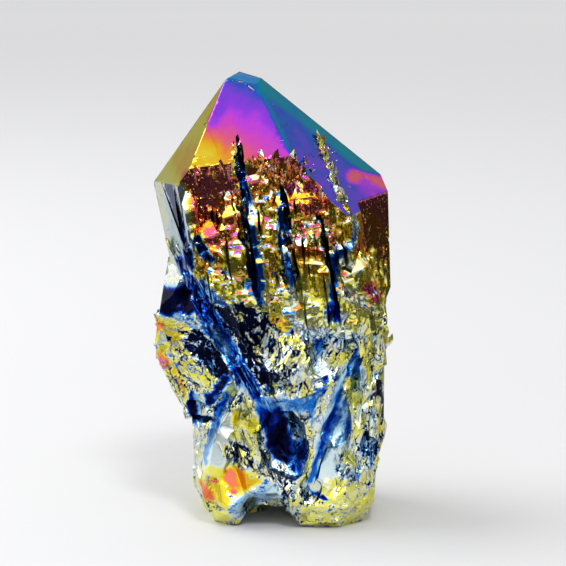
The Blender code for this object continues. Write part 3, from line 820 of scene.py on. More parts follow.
def broken(tree, zones, grains, draw):
    """Scars, splinters and conchoidal shells over the rock, split along its grain."""
    grown, gone = [], []
    chips = SCARS.count + SPLINTERS.count
    for number in range(chips + SHELLS):
        azimuth = draw.uniform(0, 360)
        if draw.random() < ROCK_ON_FRONT:
            azimuth = draw.uniform(-ROCK_SPREAD, ROCK_SPREAD)
        look = facing(azimuth)
        start = look * ROCK_RAY + facing(azimuth + 90) * draw.uniform(-ROCK_ACROSS, ROCK_ACROSS)
        start.z = draw.uniform(*ROCK_HEIGHTS)
        hit, normal, _, _ = tree.ray_cast(start, -look)
        if hit is None or hit.y < 0 and hit.x > CRYSTAL_CORNER[0] and hit.z > CRYSTAL_CORNER[1]:
            continue
        if draw.random() < calm_at(hit, zones) * CALM_WEIGHT:
            continue
        along = (grain_at(hit, grains) + jitter(GRAIN_STRAY, draw)).normalized()
        out = square_to(along, normal)
        if number < chips:
            kind, made = (SCARS, gone) if number < SCARS.count else (SPLINTERS, grown)
            size = kind.least + kind.spread * draw.random() ** 2
            sizes = (size, size * draw.uniform(*kind.thick), size * draw.uniform(*kind.long))
            centre = hit + out * sizes[1] * draw.uniform(*kind.proud)
            made.append(pebble(f"{kind.name}_{number}", centre, along, out, sizes, kind.points, draw))
        else:
            size = draw.uniform(*SHELL_SIZES)
            sizes = (size, size * SHELL_THICK, size * draw.uniform(*SHELL_LENGTHS))
            centre = hit + out * (sizes[1] - draw.uniform(*SHELL_DEPTHS))
            gone.append(pebble(f"shell_{number}", centre, along, out, sizes, SHELL_POINTS, draw))
    return grown, gone


def on_line(line, way):
    """The place a number of stretches along a line of points, and that stretch's two sizes."""
    part = int(way)
    (ax, ay), (bx, by) = line[part], line[part + 1]
    share = way - part
    return ax + (bx - ax) * share, ay + (by - ay) * share, (bx - ax, by - ay)


def fibres(tree, draw):
    """Thin ribs that lie side by side along the band of fibres."""
    made = []
    for number in range(FIBRES):
        x, z, (across, up) = on_line(FIBRE_BAND, draw.random() * (len(FIBRE_BAND) - 1))
        stray = draw.uniform(-FIBRE_WIDTH, FIBRE_WIDTH)
        way = Vector((across, 0, up)).normalized()
        hit, normal = front_hit(tree, x - way.z * stray, z + way.x * stray)
        if hit is None:
            continue
        along = (way + jitter(FIBRE_STRAY, draw)).normalized()
        out = square_to(along, normal)
        size = draw.uniform(*FIBRE_HALVES)
        sizes = (size, size * FIBRE_THICK, size * draw.uniform(*FIBRE_LENGTHS))
        centre = hit - out * size * FIBRE_SUNK
        made.append(pebble(f"fibre_{number}", centre, along, out, sizes, FIBRE_POINTS, draw))
    return made


def shards(tree, draw):
    """Flat slivers over the front crystals, along the end face's border and in its gash."""
    spots = []
    for count, sizes, (across, down) in SHARDS:
        for _ in range(count):
            spots.append((draw.uniform(*across), draw.uniform(*down), draw.uniform(*sizes)))
    for line, count, sizes in SHARD_ROWS:
        for _ in range(count):
            way = draw.random() * (len(line) - 1)
            px, py, _ = on_line(line, way)
            px += draw.uniform(-ROW_ACROSS, ROW_ACROSS) * (ROW_LEAST + way / len(line))
            py += draw.uniform(*ROW_DOWN)
            spots.append((px, py, draw.uniform(*sizes)))
    axis = (CRYSTAL_TIP - AXIS_FOOT).normalized()
    made = []
    for number, (px, py, size) in enumerate(spots):
        hit, normal = seen_at(tree, px, py)
        along = (axis + jitter(SHARD_STRAY, draw)).normalized()
        width = size * draw.uniform(*SHARD_WIDTHS)
        sizes = (width, size * SHARD_THICK, size * draw.uniform(*SHARD_LENGTHS))
        out = square_to(along, normal)
        made.append(pebble(f"shard_{number}", hit, along, out, sizes, SHARD_POINTS, draw))
    return made


def glints(tree, draw):
    """Facets that shine white, and the raised line near the tip."""
    made = []
    along, out = facing(0, GLINT_RISE - 90), facing(0, GLINT_RISE)
    for number, (px, py, wide, high) in enumerate(GLINTS):
        hit = seen_at(tree, px, py)[0]
        sizes = (wide, high * GLINT_THICK, high)
        made.append(pebble(f"glint_{number}", hit, along, out, sizes, GLINT_POINTS, draw))
    out = facing(0, TIP_LINE_RISE)
    for number, (start, end) in enumerate(zip(TIP_LINE, TIP_LINE[1:])):
        a = seen_at(tree, *start)[0]
        b = seen_at(tree, *end)[0]
        way = b - a
        sizes = (TIP_LINE_HALF, TIP_LINE_HALF, way.length * TIP_LINE_OVERLAP)
        along = way.normalized()
        made.append(pebble(f"tip_{number}", (a + b) / 2, along, out, sizes, TIP_LINE_POINTS, draw))
    return made


def edge_trim():
    """The space beyond the right-hand edge."""
    planes = []
    for height, lean in TRIM_PLANES:
        planes.append((Vector((TRIM_AT, 0, height)), Vector((-1, TRIM_TURN, lean)).normalized()))
    return cut_object("edge_trim", planes, TRIM_CENTRE, TRIM_SIZE)


def ground():
    """Everything below the floor."""
    return cut_object("ground", [], Vector((0, 0, -GROUND_SIZE / 2)), GROUND_SIZE)


def edge_chips(ob, draw):
    """Small bites out of the sharp edges among the front crystals and the end face borders."""
    bm = bmesh.new()
    bm.from_mesh(ob.data)
    edges = []
    for edge in bm.edges:
        middle = (edge.verts[0].co + edge.verts[1].co) / 2
        if middle.z < CHIPPED_FROM or edge.calc_length() < CHIPPED_LENGTH:
            continue
        if edge.calc_face_angle_signed(0) < CHIPPED_ANGLE:
            continue
        if middle.z > WHOLE_TIP[0] and abs(middle.x) < WHOLE_TIP[1]:
            continue
        edges.append(edge)
    weights = [e.calc_length() for e in edges]
    made = []
    for number, edge in enumerate(draw.choices(edges, weights, k=EDGE_CHIPS)):
        spot = edge.verts[0].co.lerp(edge.verts[1].co, draw.random())
        out = (edge.link_faces[0].normal + edge.link_faces[1].normal).normalized()
        along = jitter(1, draw).normalized()
        size = CHIP_SIZES[0] + (CHIP_SIZES[1] - CHIP_SIZES[0]) * draw.random() ** 2
        if spot.z > FINE_CHIPS_FROM:
            size *= FINE_CHIP_SHARE
        sizes = (size, size, size * draw.uniform(*CHIP_LENGTHS))
        centre = spot + out * size * CHIP_PROUD
        made.append(pebble(f"chip_{number}", centre, along, out, sizes, CHIP_POINTS, draw))
    bm.free()
    return made


def end_planes():
    """Point and normal of each face of the main crystal's end, in the world."""
    turn = CRYSTAL.to_3x3()
    planes = []
    for side, (rise, offset) in enumerate(END_FACES):
        normal = turn @ facing(FIRST_FACE + side * SIDE_ANGLE, rise)
        planes.append((CRYSTAL_TIP + normal * offset, normal))
    for point, azimuth, rise in BLUNTINGS:
        planes.append((CRYSTAL @ Vector(point), turn @ facing(azimuth, rise)))
    return planes


def level_ends(ob):
    """Bring crystals that ended flush with the main one's end faces onto those faces."""
    with editing(ob) as bm:
        for point, normal in end_planes():
            for vertex in bm.verts:
                height = (vertex.co - point).dot(normal)
                if abs(height) < FLUSH and height != 0:
                    if any(face.normal.dot(normal) > FLUSH_FACING for face in vertex.link_faces):
                        vertex.co -= normal * height
        bmesh.ops.remove_doubles(bm, verts=bm.verts[:], dist=WELD)
        bmesh.ops.dissolve_degenerate(bm, edges=bm.edges[:], dist=SLIVER)


def keep_stone(ob):
    """Delete crumbs that the cuts left loose, and hollows shut inside the stone."""
    with editing(ob) as bm:
        left = set(bm.faces)
        islands = []
        for first in bm.faces:
            if first not in left:
                continue
            left.remove(first)
            island = [first]
            for face in island:
                for edge in face.edges:
                    for other in edge.link_faces:
                        if other in left:
                            left.remove(other)
                            island.append(other)
            islands.append(island)
        islands.sort(key=len)
        loose = [face for island in islands[:-1] for face in island]
        bmesh.ops.delete(bm, geom=loose, context="FACES")
        bmesh.ops.delete(bm, geom=[v for v in bm.verts if not v.link_faces], context="VERTS")
        bmesh.ops.delete(bm, geom=[e for e in bm.edges if not e.link_faces], context="EDGES")
        bmesh.ops.holes_fill(bm, edges=[e for e in bm.edges if e.is_boundary], sides=0)


def is_long(edge):
    """Whether an edge between two faces is longer than the mesh's longest edges there."""
    front = min(edge.verts[0].co.y, edge.verts[1].co.y) < FRONT_DEPTH
    limit = FRONT_EDGE if front else BACK_EDGE
    return len(edge.link_faces) == 2 and edge.calc_length() > limit


def densify(ob):
    """Split long edges, so that colour and fine relief have vertices to sit on."""
    with editing(ob) as bm:
        bmesh.ops.triangulate(bm, faces=[f for f in bm.faces if len(f.verts) > 3])
        for _ in range(SPLITS):
            long = [edge for edge in bm.edges if is_long(edge)]
            if not long:
                break
            bmesh.ops.subdivide_edges(bm, edges=long, cuts=1)
            bmesh.ops.triangulate(bm, faces=[f for f in bm.faces if len(f.verts) > 3])


def smooth_step(low, high, value):
    """From 0 at low to 1 at high, level at both."""
    t = np.clip((value - low) / (high - low), 0, 1)
    return t * t * (3 - 2 * t)


def fetched(items, key, width=1, kind=np.float32):
    """One value, or a row of them, for each vertex, loop or face of a mesh."""
    values = np.empty(len(items) * width, kind)
    items.foreach_get(key, values)
    return values.reshape(-1, width).astype(float) if width > 1 else values


# Rays out of each vertex: count, reach, start above it, and what the farthest ones lose.
HOLLOW_RAYS = 12
HOLLOW_REACH = 7.0
HOLLOW_LIFT = 0.03
HOLLOW_FADE = 0.5


def hollowness(ob):
    """For each vertex, the share of rays out of it that meet the stone within a short reach."""
    tree = tree_of(ob)
    rays = []
    for step in range(HOLLOW_RAYS):
        level = (step + 0.5) / HOLLOW_RAYS
        turn = golden_turn(step)
        ring = math.sqrt(1 - level * level)
        rays.append(Vector((ring * math.cos(turn), ring * math.sin(turn), level)))
    deep = np.zeros(len(ob.data.vertices))
    for index, vertex in enumerate(ob.data.vertices):
        spin = vertex.normal.to_track_quat("Z", "Y")
        start = vertex.co + vertex.normal * HOLLOW_LIFT
        for ray in rays:
            distance = tree.ray_cast(start, spin @ ray, HOLLOW_REACH)[3]
            if distance is not None:
                deep[index] += 1 - HOLLOW_FADE * distance / HOLLOW_REACH
    return deep / len(rays)


# Noise that shifts the borders of colour patches: (scale per mm, size in mm).
BORDER_NOISES = ((0.8, 0.45), (2.4, 0.2))


def strayed(mesh):
    """Vertex positions shifted a little by noise, so that patches of colour get ragged borders."""
    noise.seed_set(SEED)
    made = []
    for vertex in mesh.vertices:
        place = vertex.co.copy()
        for scale, size in BORDER_NOISES:
            place += noise.noise_vector(vertex.co * scale) * size
        made.append(place)
    return np.array(made)


# The front and the back by depth, and the film that waves over the back: (height of the waves,
# turns per mm to the right and up, rise).
FRONT_FADE = (1.5, -1.5)
BACK_FADE = (-2, 5)
BACK_WAVE = (0.05, 0.35, 0.12, 0.02)
# The high left sides: their facings, heights and film.
LEFT_FACINGS = (-0.55, -0.85)
LEFT_HEIGHTS = (36, 39)
LEFT_FILM = 0.41
# Where a patch fades, as (share of its radius, mm): outer and inner border. On end faces the two
# are plain shares of the radius.
PATCH_OUTER = (1.2, 0.1)
PATCH_INNER = (0.85, -0.05)
END_PATCH = (1.4, 0.6)
# The film thins in hollows deeper than the first number, less so where a patch claims the place.
# Towards the film's near-black end this is painted shade in the hollows.
HOLLOW_FROM = 0.25
HOLLOW_THINS = 0.4
HOLLOW_CLAIMED = 0.35
LEAST_FILM = 0.02
# How near a face lies to an end face's plane and direction, and how the bevel faces.
END_NEAR = 0.1
END_FACING = 0.995
BEVEL_FACING = 0.3
# Sides upright along the main crystal's axis, which lose some black higher up.
UPRIGHT = 0.15
UPRIGHT_BLACK = 0.5
UPRIGHT_HEIGHTS = (36, 42)


def film_thickness(p, q, n, hollow, zones, end_zones):
    """Film by place, facing and depth in a hollow, and the masks that go with it.

    p holds the places, q the same places with ragged borders, and n the face normals. The masks
    are the end faces with the bevel, calm, black (the share of near-black patches of painted dark
    reflection), fibrous and the bevel alone.
    """
    x, y, z = q[:, 0], q[:, 1], q[:, 2]
    heights = [row[0] for row in HEIGHT_FILMS]
    film = np.interp(z, heights, [row[1] for row in HEIGHT_FILMS])
    calm = np.zeros(len(p))
    fibrous = np.zeros(len(p))
    claimed = np.zeros(len(p))
    black = np.full(len(p), BLACK_PATCHES)
    wave, across, up, rise = BACK_WAVE
    film += smooth_step(*BACK_FADE, y) * (wave * np.sin(x * across + z * up) + rise)
    left = smooth_step(*LEFT_FACINGS, n[:, 0]) * smooth_step(*LEFT_HEIGHTS, z)
    film = film * (1 - left) + LEFT_FILM * left
    front = smooth_step(*FRONT_FADE, y)
    for name, zone in zones.items():
        outer = PATCH_OUTER[0] * zone.radius + PATCH_OUTER[1]
        inner = PATCH_INNER[0] * zone.radius + PATCH_INNER[1]
        share = front * smooth_step(outer, inner, near_line(x, z, zone))
        film += (zone.film - film) * share * zone.strength
        claimed = np.maximum(claimed, share)
        calm += (zone.calm - calm) * share
        black += (zone.black - black) * share
        fibrous += ((name in FIBROUS) - fibrous) * share
    film -= np.clip(hollow - HOLLOW_FROM, 0, 1) * (HOLLOW_THINS - HOLLOW_CLAIMED * claimed)
    film = np.clip(film, LEAST_FILM, 1.0)
    end = np.zeros(len(p))
    for (point, normal), (tip, across, up) in zip(end_planes(), END_FILMS + BLUNT_FILMS):
        on = np.abs((p - np.array(point)) @ np.array(normal)) < END_NEAR
        on &= n @ np.array(normal) > END_FACING
        value = tip + across * (p[:, 0] - CRYSTAL_TIP.x) + up * (p[:, 2] - CRYSTAL_TIP.z)
        film = np.where(on, value, film)
        end = np.where(on, 1.0, end)
    zone = end_zones["left_bevel"]
    bevel = (n[:, 2] > BEVEL_FACING) & (n[:, 1] < -BEVEL_FACING) & (end == 0)
    bevel &= near_line(p[:, 0], p[:, 2], zone) < zone.radius
    film = np.where(bevel, zone.film, film)
    end = np.where(bevel, 1.0, end)
    for zone in end_zones.values():
        outer, inner = END_PATCH[0] * zone.radius, END_PATCH[1] * zone.radius
        near = near_line(p[:, 0], p[:, 2], zone)
        share = front * end * (1 - bevel) * smooth_step(outer, inner, near)
        film += (zone.film - film) * share * zone.strength
    upright = np.abs(n @ CRYSTAL_UP) < UPRIGHT
    black -= UPRIGHT_BLACK * upright * smooth_step(*UPRIGHT_HEIGHTS, z) * (1 - claimed)
    return np.clip(film, 0.0, 1.0), end, calm, black, fibrous, bevel


# The turn of the grain where no line is near, and behind a depth, where it goes by steps:
# (size of a step, steps to each hand, turns per mm to the right and up).
GRAIN_TURN = -0.12
GRAIN_BEHIND = 3
GRAIN_STEPS = (0.25, 2, 0.3, 0.12)
GRAIN_REACH = 1.6


def grain_angles(mesh, faces, grains):
    """For each corner, the turn about Y that brings the rock's grain at its face upright."""
    middles = fetched(mesh.polygons, "center", 3)
    angle = np.full(len(middles), GRAIN_TURN)
    behind = middles[:, 1] > GRAIN_BEHIND
    size, steps, across, up = GRAIN_STEPS
    wave = np.sin(middles[behind, 0] * across + middles[behind, 2] * up)
    angle[behind] = size * np.round(steps * wave)
    best = np.full(len(middles), GRAIN_REACH)
    best[behind] = 0
    for line in grains.values():
        near = near_line(middles[:, 0], middles[:, 2], line) / line.radius
        turn = math.atan2(line.to_x - line.x, line.z - line.to_z)
        angle = np.where(near < best, turn, angle)
        best = np.minimum(near, best)
    return angle[faces]


# Where crystal faces start, how far up the axis a ledge faces, and where the sides' painted shade
# sets in.
CRYSTAL_FROM = 28
LEDGE_RISES = (0.2, 0.45)
PAINTED_SHADE_HEIGHTS = (30, 39)
MASKS = ("film", "end_face", "prism_face", "ledge", "calm", "black", "painted_shade", "fibrous", "hollow",
         "grain")


def paint(ob, zones, end_zones, grains):
    """Per-corner film thickness, hollowness, grain, painted shade and finish, under the names in
    MASKS.
    """
    mesh = ob.data
    hollow = hollowness(ob)
    loops = fetched(mesh.loops, "vertex_index", kind=np.int32)
    totals = fetched(mesh.polygons, "loop_total", kind=np.int32)
    faces = np.repeat(np.arange(len(totals)), totals)
    place = fetched(mesh.vertices, "co", 3)[loops]
    normals = fetched(mesh.polygons, "normal", 3)[faces]
    film, end, calm, black, fibrous, bevel = film_thickness(
        place, strayed(mesh)[loops], normals, hollow[loops], zones, end_zones
    )
    rise = normals @ CRYSTAL_UP
    high = (place[:, 2] > CRYSTAL_FROM) & (end == 0)
    prism = (np.abs(rise) < UPRIGHT) & high
    ledge = smooth_step(*LEDGE_RISES, rise) * high * (1 - calm)
    # Painted shade on the high upright sides, the bevel and the end faces.
    painted_shade = prism * smooth_step(*PAINTED_SHADE_HEIGHTS, place[:, 2]) * PRISM_PAINTED_SHADE
    painted_shade += np.where(bevel, BEVEL_PAINTED_SHADE, end * END_PAINTED_SHADE)
    grain = grain_angles(mesh, faces, grains)
    rows = (film, end, prism, ledge, calm, black, painted_shade, fibrous, hollow[loops], grain)
    for name, values in zip(MASKS, rows):
        layer = mesh.attributes.new(name, "FLOAT", "CORNER")
        layer.data.foreach_set("value", values.astype(np.float32))


# The material's noises: (scale per mm, detail, roughness).
NOISES = {
    "facets": (1.0, 1.0, 0.5),
    "warp": (0.8, 2.0, 0.5),
    "clouds": (0.45, 4.0, 0.5),
    "streaks": (0.9, 3.0, 0.5),
    "specks": (2.6, 5.0, 0.75),
    "patches": (0.75, 6.0, 0.72),
    "cracks": (0.9, 3.0, 0.55),
    "grain": (2.2, 5.0, 0.62),
}
# What some amounts are by a mask: (change from mask 0 to mask 1, amount at mask 0).
FACET_STRAY = (0.32, 0.06)
CLOUD_STRAY = (0.20, 0.09)
BLOCK_FILM = (0.38, 0.19)
# Painted shade and dark reflection: the near-black patches and cracks, the film left in them, and the
# colour's painted shade in hollows and on the bevel, the end faces and the high sides.
PATCH_LIMIT = (0.32, 0.33)
CRACK_WIDTH = (0.06, 0.012)
DARK_PLACE_FILM = (0.97, 0.03)
HOLLOW_SHADE = (-0.35, 1.05)
PAINTED_SHADE_FACTOR = (-0.55, 1.0)
ROCK_BUMP = (0.40, 0.05)
ROCK_GLOSS = (0.04, 0.11)
# Facets: how fast the film changes with a facet's lean and with its place in mm.
BY_LEAN = 2.2
BY_PLACE = 0.12
# The mosaic of broken grains: (scale per mm, stray of the film, share of the lean). Both it and
# the other patterns are drawn out along the rock's grain and warped.
MOSAIC = ((0.6, 0.15, 0.65), (1.7, 0.09, 0.35))
DRAWN_OUT = (1.0, 1.0, 0.35)
WARP = 1.2
MIDDLE = (0.5, 0.5, 0.5)
# Small crystals' ends: scale of the blocks, the rosy ones, and a thinner film lower down. Their
# upward ends are painted paler than the sides, partly a painted highlight of the light from above.
BLOCK_SCALE = 1.1
ROSY_FROM = 0.72
ROSY_FILM = 0.22
LOW_HEIGHTS = (41.0, 33.0)
LOW_FILM = -0.05
LEDGE_SHARE = 0.92
# Strays towards a thicker film are held to this share.
THICKER_SHARE = 0.55
# Streaks and specks: how they are drawn out, where specks start, and the film that they add.
STREAKY = (3.0, 3.0, 0.5)
STREAK_FILM = 0.55
SPECK_LEVELS = (0.60, 0.62)
SPECK_FILM = -0.18
# Painted dark patches on ledges, and how softly the painted dark patches and cracks end.
LEDGE_LIMIT = 0.05
PATCH_BORDER = 0.025
CRACK_BORDER = 0.012
# How far small facets lean on rock and specks, the relief in metres, and the grain's dull spots.
ROCK_LEAN = 0.95
SPECK_LEAN = 1.2
PRISM_BUMP = 0.10
BUMP_HEIGHT = 0.0003
GRAIN_GLOSS = 0.10


class Nodes:
    """Short ways to add shader nodes to one tree."""

    def __init__(self, tree):
        self.tree = tree

    def add(self, kind, inputs=None, **settings):
        made = self.tree.nodes.new(kind)
        for key, value in settings.items():
            setattr(made, key, value)
        for key, value in (inputs or {}).items():
            self.put(value, made.inputs[key])
        return made

    def put(self, value, socket):
        if isinstance(value, bpy.types.NodeSocket):
            self.tree.links.new(value, socket)
        else:
            socket.default_value = value

    def sum(self, operation, *values, clamp=False):
        inputs = dict(enumerate(values))
        return self.add("ShaderNodeMath", inputs, operation=operation, use_clamp=clamp).outputs[0]

    def line(self, value, slope, base, clamp=False):
        """The value times the slope, plus the base."""
        return self.sum("MULTIPLY_ADD", value, slope, base, clamp=clamp)

    def without(self, value):
        """What is left of 1."""
        return self.sum("SUBTRACT", 1.0, value)

    def vector(self, operation, *values):
        inputs = dict(enumerate(values))
        return self.add("ShaderNodeVectorMath", inputs, operation=operation).outputs[0]

    def scale(self, vector, amount):
        inputs = {0: vector, "Scale": amount}
        return self.add("ShaderNodeVectorMath", inputs, operation="SCALE").outputs[0]

    def parts(self, vector):
        return self.add("ShaderNodeSeparateXYZ", {0: vector}).outputs

    def place(self, output="Object"):
        return self.add("ShaderNodeTexCoord").outputs[output]

    def attribute(self, name):
        return self.add("ShaderNodeAttribute", attribute_name=name).outputs["Fac"]

    def noise(self, place, name, output="Fac"):
        scale, detail, roughness = NOISES[name]
        inputs = {"Vector": place, "Scale": scale, "Detail": detail, "Roughness": roughness}
        return self.add("ShaderNodeTexNoise", inputs).outputs[output]

    def swing(self, place, name):
        """A noise about its middle level."""
        return self.sum("SUBTRACT", self.noise(place, name), 0.5)

    def cells(self, place, scale):
        return self.add("ShaderNodeTexVoronoi", {"Vector": place, "Scale": scale}).outputs["Color"]

    def ranged(self, value, low, high):
        inputs = {"Value": value, "From Min": low, "From Max": high}
        return self.add("ShaderNodeMapRange", inputs).outputs[0]

    def ramp(self, value, stops):
        made = self.tree.nodes.new("ShaderNodeValToRGB")
        elements = made.color_ramp.elements
        elements[0].position, elements[0].color = stops[0][0], (*stops[0][1], 1)
        elements[1].position, elements[1].color = stops[-1][0], (*stops[-1][1], 1)
        for position, colour in stops[1:-1]:
            elements.new(position).color = (*colour, 1)
        self.put(value, made.inputs[0])
        return made.outputs[0]


def new_material(name):
    """A material, its shader node and the means to add nodes to it."""
    material = bpy.data.materials.new(name)
    material.use_nodes = True
    return material, material.node_tree.nodes["Principled BSDF"], Nodes(material.node_tree)


def along_grain(make, place, angle):
    """Coordinates with the rock's grain upright and drawn out, and a little warped."""
    inputs = {"Vector": place, "Angle": angle}
    turned = make.add("ShaderNodeVectorRotate", inputs, rotation_type="Y_AXIS").outputs[0]
    warp = make.vector("SUBTRACT", make.noise(place, "warp", "Color"), MIDDLE)
    return make.vector("ADD", make.vector("MULTIPLY", turned, DRAWN_OUT), make.scale(warp, WARP))


def mosaic(make, grained):
    """Broken grains of two sizes: how the film strays on each, and how each one leans."""
    shift = 0.0
    leans = []
    for scale, stray, share in MOSAIC:
        colour = make.cells(grained, scale)
        shift = make.line(make.parts(colour)[0], stray, make.sum("SUBTRACT", shift, stray / 2))
        leans.append(make.scale(colour, share))
    return shift, make.vector("SUBTRACT", make.vector("ADD", *leans), MIDDLE)


def ledge_film(make, place):
    """The film on small crystals' ends, which varies from one to the next and is painted paler than
    on the sides, partly a painted highlight.
    """
    block = make.parts(make.cells(place, BLOCK_SCALE))[0]
    rosy = make.sum("GREATER_THAN", block, ROSY_FROM)
    film = make.line(rosy, ROSY_FILM, make.line(block, *BLOCK_FILM))
    return make.line(make.ranged(make.parts(place)[2], *LOW_HEIGHTS), LOW_FILM, film)


def painted_dark_places(make, grained, mask, rough):
    """Patches and cracks where the film is painted down to near black, as painted shade and dark
    reflection; the cracks follow the middle level of a noise.
    """
    limit = make.line(mask["ledge"], LEDGE_LIMIT, make.line(mask["black"], *PATCH_LIMIT))
    over = make.sum("SUBTRACT", limit, make.noise(grained, "patches"))
    patch = make.sum("DIVIDE", over, PATCH_BORDER, clamp=True)
    patch = make.sum("MULTIPLY", patch, make.without(mask["end_face"]))
    level = make.sum("ABSOLUTE", make.swing(grained, "cracks"))
    over = make.sum("SUBTRACT", make.line(mask["black"], *CRACK_WIDTH), level)
    crack = make.sum("DIVIDE", over, CRACK_BORDER, clamp=True)
    return make.sum("MAXIMUM", patch, make.sum("MULTIPLY", crack, rough))


def film_material():
    """The titanium film: its thickness from the masks and patterns, then its colour with painted
    shade, and its finish.
    """
    material, shader, make = new_material("aura_film")
    place = make.scale(make.place(), 1 / MM)
    geometry = make.add("ShaderNodeNewGeometry").outputs
    mask = {name: make.attribute(name) for name in MASKS}
    crystal = make.sum("MAXIMUM", mask["end_face"], mask["prism_face"])
    rock = make.without(make.sum("MAXIMUM", crystal, mask["ledge"]))
    rough = make.sum("MULTIPLY", rock, make.without(mask["calm"]))

    # Facets that lean differently caught more or less of the vapour, and so did the grains.
    tilt = make.scale(geometry["True Normal"], BY_LEAN)
    where = make.vector("ADD", tilt, make.scale(place, BY_PLACE))
    facets = make.sum("MULTIPLY", make.swing(where, "facets"), make.line(rough, *FACET_STRAY))
    grained = along_grain(make, place, mask["grain"])
    shift, lean = mosaic(make, grained)
    stray = make.sum("ADD", facets, make.sum("MULTIPLY", shift, rough))
    stray = make.line(make.swing(place, "clouds"), make.line(rough, *CLOUD_STRAY), stray)
    stray = make.sum("MINIMUM", stray, make.sum("MULTIPLY", stray, THICKER_SHARE))
    # Small crystals' upward ends take a paler film of their own, partly a painted highlight.
    share = make.sum("MULTIPLY", mask["ledge"], LEDGE_SHARE)
    mixed = make.add("ShaderNodeMix", {0: share, 2: mask["film"], 3: ledge_film(make, place)})
    film = make.sum("ADD", mixed.outputs[0], stray)

    # Streaks along the fibres, and dark specks on the crystal sides.
    streaks = make.swing(make.vector("MULTIPLY", grained, STREAKY), "streaks")
    streaks = make.sum("MULTIPLY", streaks, mask["fibrous"])
    film = make.line(streaks, STREAK_FILM, film, clamp=True)
    specks = make.ranged(make.noise(place, "specks"), *SPECK_LEVELS)
    specks = make.sum("MULTIPLY", specks, mask["prism_face"])
    film = make.line(specks, SPECK_FILM, film, clamp=True)

    # Painted shade and dark reflection: near-black patches and cracks, whose borders run through
    # navy, azure and silver.
    outside_dark = make.without(painted_dark_places(make, grained, mask, rough))
    film = make.sum("MULTIPLY", film, make.line(outside_dark, *DARK_PLACE_FILM))
    # Painted shade: the colour is darkened in hollows, and on the bevel, the end faces and the high
    # sides, less on dark specks.
    shade = make.line(mask["hollow"], *HOLLOW_SHADE, clamp=True)
    painted_shade = make.sum("MULTIPLY", mask["painted_shade"], make.without(specks))
    shade = make.sum("MULTIPLY", shade, make.line(painted_shade, *PAINTED_SHADE_FACTOR))
    make.put(make.scale(make.ramp(film, FILM_COLOURS), shade), shader.inputs["Base Color"])

    # Small facets on the rock: each grain leans its own way.
    amount = make.line(rough, ROCK_LEAN, make.sum("MULTIPLY", specks, SPECK_LEAN))
    leaned = make.vector("ADD", geometry["Normal"], make.scale(lean, amount))
    leaned = make.vector("NORMALIZE", leaned)
    grain = make.noise(place, "grain")
    strength = make.line(mask["prism_face"], PRISM_BUMP, make.line(rough, *ROCK_BUMP))
    inputs = {"Height": grain, "Strength": strength, "Distance": BUMP_HEIGHT, "Normal": leaned}
    make.put(make.add("ShaderNodeBump", inputs).outputs[0], shader.inputs["Normal"])
    gloss = make.line(grain, GRAIN_GLOSS, make.line(rock, *ROCK_GLOSS))
    make.put(gloss, shader.inputs["Roughness"])
    shader.inputs["Metallic"].default_value = 1.0
    return material


def dress():
    """The stone with its small crystals, broken rock and film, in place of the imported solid."""
    draw = random.Random(SEED)
    stone = stone_from_frame()
    boolean(stone, [edge_trim()], "DIFFERENCE")
    tree = tree_of(stone)
    zones = placed(tree, FRONT_ZONES)
    grains = placed(tree, GRAINS)
    grown, gone = broken(tree, zones, grains, draw)
    grown += small_crystals(tree, zones, draw) + fibres(tree, draw) + shards(tree, draw)
    grown += glints(tree, random.Random(GLINT_SEED))
    boolean(stone, grown, "UNION")
    gone += slots(tree, draw) + edge_chips(stone, draw) + [ground()]
    boolean(stone, gone, "DIFFERENCE")
    level_ends(stone)
    keep_stone(stone)
    densify(stone)
    paint(stone, zones, placed(tree, END_ZONES), grains)
    mesh = stone.data
    mesh.materials.clear()
    mesh.materials.append(film_material())
    mesh.transform(Matrix.Scale(MM, 4))
    mesh.shade_smooth()
    mesh.set_sharp_from_angle(angle=math.radians(SHARP_ANGLE))
    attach(stone, "root")
    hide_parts(NODE)


# The floor, in metres: its disc, its colours near the stone, far away and as the stone mirrors
# it, and where each starts and is full.
FLOOR_RADIUS = 6.0
FLOOR_SIDES = 96
FLOOR_NEAR = (0.53, 0.53, 0.54, 1)
FLOOR_FAR = (0.70, 0.70, 0.71, 1)
FLOOR_MIRRORED = (0.02, 0.02, 0.025, 1)
PALER_FROM = (0.1, 1.0)
MIRRORED_FROM = (0.065, 0.115)
LEFT_BEHIND_FROM = (0.06, 0.11)
FLOOR_ROUGH = 0.9
FLOOR_SHINE = 0.1


def floor_material():
    """Pale cloth, which the stone mirrors darker except to the left and behind."""
    material, shader, make = new_material("pale_floor")
    place = make.place()
    away = make.add("ShaderNodeVectorMath", {0: place}, operation="LENGTH").outputs["Value"]
    parts = make.parts(place)
    left_behind = make.ranged(make.sum("SUBTRACT", parts[1], parts[0]), *LEFT_BEHIND_FROM)
    far = make.sum("SUBTRACT", make.ranged(away, *MIRRORED_FROM), left_behind, clamp=True)
    mirrored = make.add("ShaderNodeLightPath").outputs["Is Glossy Ray"]
    inputs = {0: make.ranged(away, *PALER_FROM), 6: FLOOR_NEAR, 7: FLOOR_FAR}
    cloth = make.add("ShaderNodeMix", data_type="RGBA", inputs=inputs).outputs[2]
    inputs = {0: make.sum("MULTIPLY", far, mirrored), 6: cloth, 7: FLOOR_MIRRORED}
    mixed = make.add("ShaderNodeMix", data_type="RGBA", inputs=inputs).outputs[2]
    make.put(mixed, shader.inputs["Base Color"])
    shader.inputs["Roughness"].default_value = FLOOR_ROUGH
    shader.inputs["Specular IOR Level"].default_value = FLOOR_SHINE
    return material


